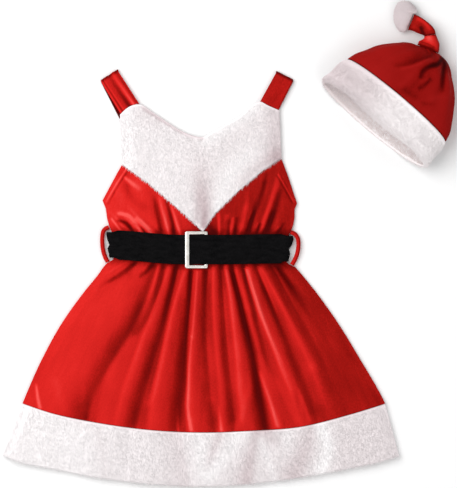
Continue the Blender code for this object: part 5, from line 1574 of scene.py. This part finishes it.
def strip_rings(line):
    """Rings of a belt loop's oval section along a line of points, wide in plan."""
    run = np.arange(len(line))
    fine = np.linspace(0, len(line) - 1, LOOP_STEPS)
    centre = np.stack([through(list(zip(run, column)), fine) for column in zip(*line)], axis=1)
    ahead = unit(np.gradient(centre, axis=0))
    wide = unit(np.cross(ahead, (0, 0, 1)))
    up = np.cross(wide, ahead)
    rings = []
    for angle in angles(LOOP_SIDES, 0.5):
        out = np.sign(cos(angle)) * abs(cos(angle)) ** STRIP_FULL * (LOOP_WIDTH / 2)
        rings.append(centre + wide * out + up * sin(angle) * (LOOP_THICK / 2))
    return np.array(rings).swapaxes(0, 1)


def build_loops(looks):
    """The two belt loops, each with a groove along its outer face, painted darker as shade."""
    turn = angles(LOOP_SIDES, 0.5)
    across = np.cos(turn)
    groove = LOOP_GROOVE * bell((across - GROOVE_AT) / GROOVE_WIDE)
    for name, line in LOOPS.items():
        rings = strip_rings(line)
        rings[:, :, 2] -= groove * (np.sin(turn) > 0)
        cloth = cloth_at(across * (LOOP_WIDTH / 2), np.linspace(0, LOOP_LONG, LOOP_STEPS)[:, None])
        # Painted shade in the groove
        fields = {"fold": np.broadcast_to(-groove * GROOVE_SHADE, rings.shape[:2]), "cloth": cloth}
        declare(tube("velour_" + name, dress_world(rings), looks["red"], fields), "red_velour", name)


# ---- The hat ----


def hat_points(rings, places, sides, inset, pleats=0.0):
    """Points of rings lying on their side, each drawn in by its own inset."""
    angle = angles(sides)
    out, up = np.cos(angle), np.sin(angle)
    table = np.array(rings)
    step = np.hypot(np.diff(table[:, 0]), np.diff(table[:, 2]))
    run = np.insert(np.cumsum(step), 0, 0) / step.sum()
    first, last = rings[0].b, rings[-1].b
    rows = []
    for place, inward in zip(places, inset):
        b0, middle, half, low, high, back, slope = (
            float(through(list(zip(run, column)), place)) for column in table.T
        )
        low = float(np.interp(place, run, table[:, 3]))
        rests = 1 - smooth(low / 1.5)
        near = smooth((b0 - first) / (last - first))
        wave = np.cos(CROWN_PLEATS * angle + PLEAT_TURN) * np.abs(up)
        wave = 1 - pleats * near * (1 - near * PLEAT_EASE) * wave
        tall = high - low
        dent = CROWN_DENT * 4 * near * (1 - near) * (pleats > 0)
        below = inward * near**CROWN_TOP * (pleats > 0)
        a = middle + (half * wave - inward) * out
        rise = tall / 2 + (tall / 2 * wave - inward) * up
        rise = rise - HAT_SINK * np.maximum(-up, 0) * rests - dent * np.maximum(up, 0) ** 4
        z = low + np.maximum(rise, inward * rests - tall * (1 - rests))
        b = b0 + back * (rise / tall - 0.5) + slope * (a - middle) - below
        rows.append(np.stack([a, b, z], axis=-1))
    return np.array(rows)


def normals_of(points):
    """Unit normals of a grid that runs round, pointing outward from its middle line."""
    over = np.roll(points, -1, axis=1) - np.roll(points, 1, axis=1)
    normal = unit(np.cross(np.gradient(points, axis=0), over))
    away = points - points.mean(axis=1, keepdims=True)
    return -normal if (normal * away).sum() < 0 else normal


def joined(rings):
    """The same rings with their first point again at their end."""
    return np.concatenate([rings, rings[:, :1]], axis=1)


def off_floor(least, high):
    """Pile that is short at the surface and full from the given height on."""
    return lambda root: least + (1 - least) * smooth(root[:, 2] / high)


def build_hat_band(looks):
    """The hat's plush band, with pile outside and a way into its mouth."""
    places = edged(BAND_ROWS, BAND_WIDE, PLUSH_EDGE)
    turn = angles(BAND_SIDES)
    share = rounding(np.minimum(places, 1 - places) * BAND_WIDE, HAT_PLUSH / 2)
    gap = HAT_PLUSH * (1 - share) / 2
    outer = hat_points(BAND_RINGS, places, len(turn), gap)
    inner = hat_points(BAND_RINGS, places, len(turn), HAT_PLUSH - gap - MOUTH_PILE_ROOM)
    lump = bumpy(BAND_BUMPS, places[:, None] * BAND_WIDE, turn * BAND_ROUND)
    lump[:, -BAND_JOIN:] += (lump[:, :1] - lump[:, -1:]) * np.linspace(0, 1, BAND_JOIN)
    shift = lump * smooth(outer[..., 2] / 3) - BAND_PILE_ROOM
    outer = outer + normals_of(outer) * shift[..., None]
    outer[..., 2] = np.maximum(outer[..., 2], 0)
    # The band's tone holds painted light and shade from its table
    fields = {"tone": GROUND_TONE + painted_shading(BAND_TONES, outer[..., 0], outer[..., 1])}
    faces = hat_world(outer), hat_world(inner)
    band = wall("plush_hat_band", *faces, looks["plush_hat"], fields, closed=True)
    declare(band, "white_plush", "hat_band")
    outside, short = hat_turned(normals_of(outer)), off_floor(least=0.25, high=4)
    round_band, mouth = hat_world(joined(outer)), hat_world(joined(inner)[:MOUTH_ROWS])
    pile("pile_hat_band", round_band, outside, looks["pile_hat"], hat_shade(BAND_TONES), short)
    pile("pile_hat_mouth", mouth, -outside, looks["pile_inner"], hat_shade(MOUTH_TONES), short)


def build_hat_crown(looks):
    """The hat's crown from the band to the knot, with its pleats and creases."""
    places = edged(CROWN_ROWS, CROWN_LONG, SOFT_EDGE)
    turn = angles(CROWN_SIDES)
    share = rounding(np.minimum(places, 1 - places) * CROWN_LONG, VELOUR / 2)
    gap = VELOUR * (1 - share) / 2
    outer = hat_points(CROWN_RINGS, places, len(turn), gap, PLEAT_DEPTH)
    inner = hat_points(CROWN_RINGS, places, len(turn), VELOUR - gap, PLEAT_DEPTH)
    upper = np.maximum(np.sin(turn), 0)
    fine = creases(CROWN_CREASES, outer[..., 0], outer[..., 1]) * upper
    fine = fine + bumpy(CROWN_BUMPS, turn * CROWN_ROUND, places[:, None] * CROWN_SPREAD) * upper
    shift = normals_of(outer) * fine[..., None]
    outer, inner = outer + shift, inner + shift
    lift = np.maximum(-outer[..., 2], 0)
    outer[..., 2] += lift
    inner[..., 2] += lift
    near = smooth(places)[:, None]
    # Painted light and shade: pleat waves, creases, the table's tones, and painted shade at the crown's
    # sides
    wave = -near * (1 - near * PLEAT_EASE) * np.cos(CROWN_PLEATS * turn + PLEAT_TURN)
    tone = painted_shading(CROWN_TONES, outer[..., 0], outer[..., 1]) * upper**0.3
    rim = CROWN_EDGE_SHADE * bell(np.sin(turn) / CROWN_EDGE_SHADE_WIDE)
    fold = np.clip(CROWN_WAVE * wave + CROWN_FINE * fine + tone - rim, -1, 1)
    fields = {"fold": fold, "cloth": cloth_at(turn * CROWN_ROUND, places[:, None] * CROWN_STREAKS)}
    faces = hat_world(outer), hat_world(inner)
    crown = wall("velour_hat_crown", *faces, looks["red_hat"], fields, closed=True)
    declare(crown, "red_velour", "hat_crown")


def ribbed(name, ribs, table, tones, looks, tongue=0.0):
    """A soft piece through ribs, with its creases, painted shade along its outer edge and under it, and
    painted tones.
    """
    ribs = np.array(ribs)
    at = np.linspace(0, len(ribs) - 1, RIB_STEPS)
    columns = [through(list(enumerate(column)), at)[:, None] for column in ribs.T]
    outer_a, outer_b, inner_a, inner_b, middle_z, half_thick = columns
    angle = angles(SOFT_SIDES, 0.5)
    across = np.sign(np.cos(angle)) * abs(np.cos(angle)) ** STRIP_FULL
    a = (outer_a + inner_a) / 2 + (outer_a - inner_a) / 2 * across
    b = (outer_b + inner_b) / 2 + (outer_b - inner_b) / 2 * across
    top = np.maximum(np.sin(angle), 0) ** 0.5
    fine = creases(table, a, b) * top
    z = middle_z + half_thick * np.sin(angle) + fine
    # Painted shade along the outer edge and on the under side, painted light and shade on creases and from
    # the table
    shade = RIB_FINE * fine - RIB_EDGE * bell((1 - across) / RIB_EDGE_WIDE)
    shade = shade - RIB_UNDER * (np.sin(angle) < 0) + painted_shading(tones, a, b) * top
    cloth = cloth_at(across * RIB_HALF, np.linspace(0, RIB_LONG, RIB_STEPS)[:, None])
    rings = np.stack([a, b, z], axis=-1)
    if tongue:
        middle = rings[0].mean(axis=0)
        back = np.array([ribs[0, 1] - ribs[0, 3], ribs[0, 2] - ribs[0, 0], 0.0])
        small = middle + (rings[0] - middle) * (1 - TONGUE_INSET)
        rings = np.concatenate([[small + unit(back) * tongue, small], rings])
        # The tongue is painted darkest, as the shadow in the crown's neck
        shade = np.concatenate([np.full((2, SOFT_SIDES), -1.0), shade])
        cloth = np.concatenate([cloth[:1], cloth[:1], cloth])
    fields = {"fold": np.clip(shade, -1, 1), "cloth": cloth}
    declare(tube("velour_" + name, hat_world(rings), looks["red"], fields), "red_velour", name)


def build_hat_tip(looks):
    """The plush tip, which wraps the tail's end on one side and is flat where it rests."""
    long_x, long_y = TIP_LONG
    angle = angles(SOFT_SIDES)
    table = np.array(TIP_LEVELS)
    along = np.concatenate([np.linspace(table[0, 0], 4.9, 26), np.linspace(5.3, table[-1, 0], 14)])
    rings = []
    for place in along:
        left, right = (float(np.interp(place, table[:, 0], table[:, k])) for k in (1, 2))
        half = (right - left) / 2
        out = left + half + half * np.cos(angle)
        up = TIP_HALF_UP * np.sqrt(1 - (place / TIP_HALF_LONG) ** 2)
        a = TIP_CENTRE.x + long_x * place + long_y * out
        b = TIP_CENTRE.y + long_y * place - long_x * out
        rings.append(np.stack([a, b, np.maximum(TIP_CENTRE.z + up * np.sin(angle), 0)], axis=-1))
    rings = np.array(rings)
    lump = bumpy(TIP_BUMPS, rings[..., 0] + 30, rings[..., 1] + rings[..., 2])
    shift = lump * smooth(rings[..., 2] / 2) - TIP_PILE_ROOM
    rings = rings + normals_of(rings) * shift[..., None]
    rings[..., 2] = np.maximum(rings[..., 2], 0)
    # The tip's tone holds painted shade from its table
    fields = {"tone": GROUND_TONE + painted_shading(TIP_TONES, rings[..., 0], rings[..., 1])}
    tip = tube("plush_hat_tip", hat_world(rings), looks["plush_hat"], fields)
    declare(tip, "white_plush", "hat_tip")
    outside, short = hat_turned(normals_of(rings)), off_floor(least=0.3, high=3)
    pile("pile_hat_tip", hat_world(joined(rings)), outside, looks["pile_hat"], hat_shade(TIP_TONES), short)


# ---- Stage ----


def build_stage():
    """The pale floor, a little below the set."""
    tree = Tree("pale_floor", 0.9, Specular_IOR_Level=0.1)
    tree.colour(tree.ramp(tree.noise(tree.place(), scale=3.0), [(0.0, FLOOR_DARK), (1.0, FLOOR_LIGHT)]))
    mesh = bpy.data.meshes.new("floor")
    half = FLOOR_SIZE / 2
    corners = [(-half, -half, 0), (half, -half, 0), (half, half, 0), (-half, half, 0)]
    mesh.from_pydata(corners, [], [(0, 1, 2, 3)])
    mesh.materials.append(tree.made)
    floor = added("floor", mesh)
    floor.location.z = -FLOOR_DROP * MM


def build_light(name, place, size, power):
    """A square light that points at the middle of the set."""
    light = bpy.data.lights.new(name, "AREA")
    light.shape = "SQUARE"
    light.size = size
    light.energy = power
    lamp = added(name, light)
    lamp.location = place
    lamp.rotation_euler = (Vector() - Vector(place)).to_track_quat("-Z", "Y").to_euler()


def build_camera():
    """A camera straight above the set, far enough away for a flat view."""
    lens = bpy.data.cameras.new("camera")
    lens.sensor_width = SENSOR
    lens.lens = CAMERA_UP * SENSOR / VIEW_LONG
    lens.clip_end = 100
    camera = added("camera", lens)
    camera.location = (0, 0, CAMERA_UP)
    bpy.context.scene.camera = camera


def build_world():
    """Plain light from all sides, and colours shown as they are."""
    world = bpy.data.worlds.new("studio")
    world.use_nodes = True
    back = world.node_tree.nodes["Background"]
    back.inputs["Color"].default_value = (*WORLD, 1.0)
    back.inputs["Strength"].default_value = WORLD_POWER
    bpy.context.scene.world = world
    bpy.context.scene.view_settings.view_transform = "Standard"


def main():
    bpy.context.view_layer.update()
    looks = {
        "red": velour("red_velour_dress", DRESS_TONES),
        "red_hat": velour("red_velour_hat", HAT_TONES),
        "plush": plush_base("plush_ground", *PLUSH_WHITES),
        "plush_hat": plush_base("plush_ground_hat", *HAT_WHITES),
        "pile": plush_pile("plush_pile", *PLUSH_WHITES),
        "pile_hat": plush_pile("plush_pile_hat", *HAT_WHITES),
        "pile_inner": plush_pile("plush_pile_inside", *INNER_WHITES),
        "black": black_velvet(),
        "silver": silver(),
    }
    build_skirt(looks)
    build_bib(looks)
    build_bodice(looks)
    for strap in STRAPS:
        build_strap(strap, looks)
    build_belt(looks)
    build_buckle(looks)
    build_loops(looks)
    build_hat_band(looks)
    build_hat_crown(looks)
    ribbed("hat_knot", KNOT_RIBS, KNOT_CREASES, KNOT_TONES, looks, KNOT_TONGUE)
    ribbed("hat_tail", TAIL_RIBS, TAIL_CREASES, TAIL_TONES, looks)
    build_hat_tip(looks)
    build_stage()
    for light in LIGHTS:
        build_light(*light)
    build_world()
    build_camera()


main()
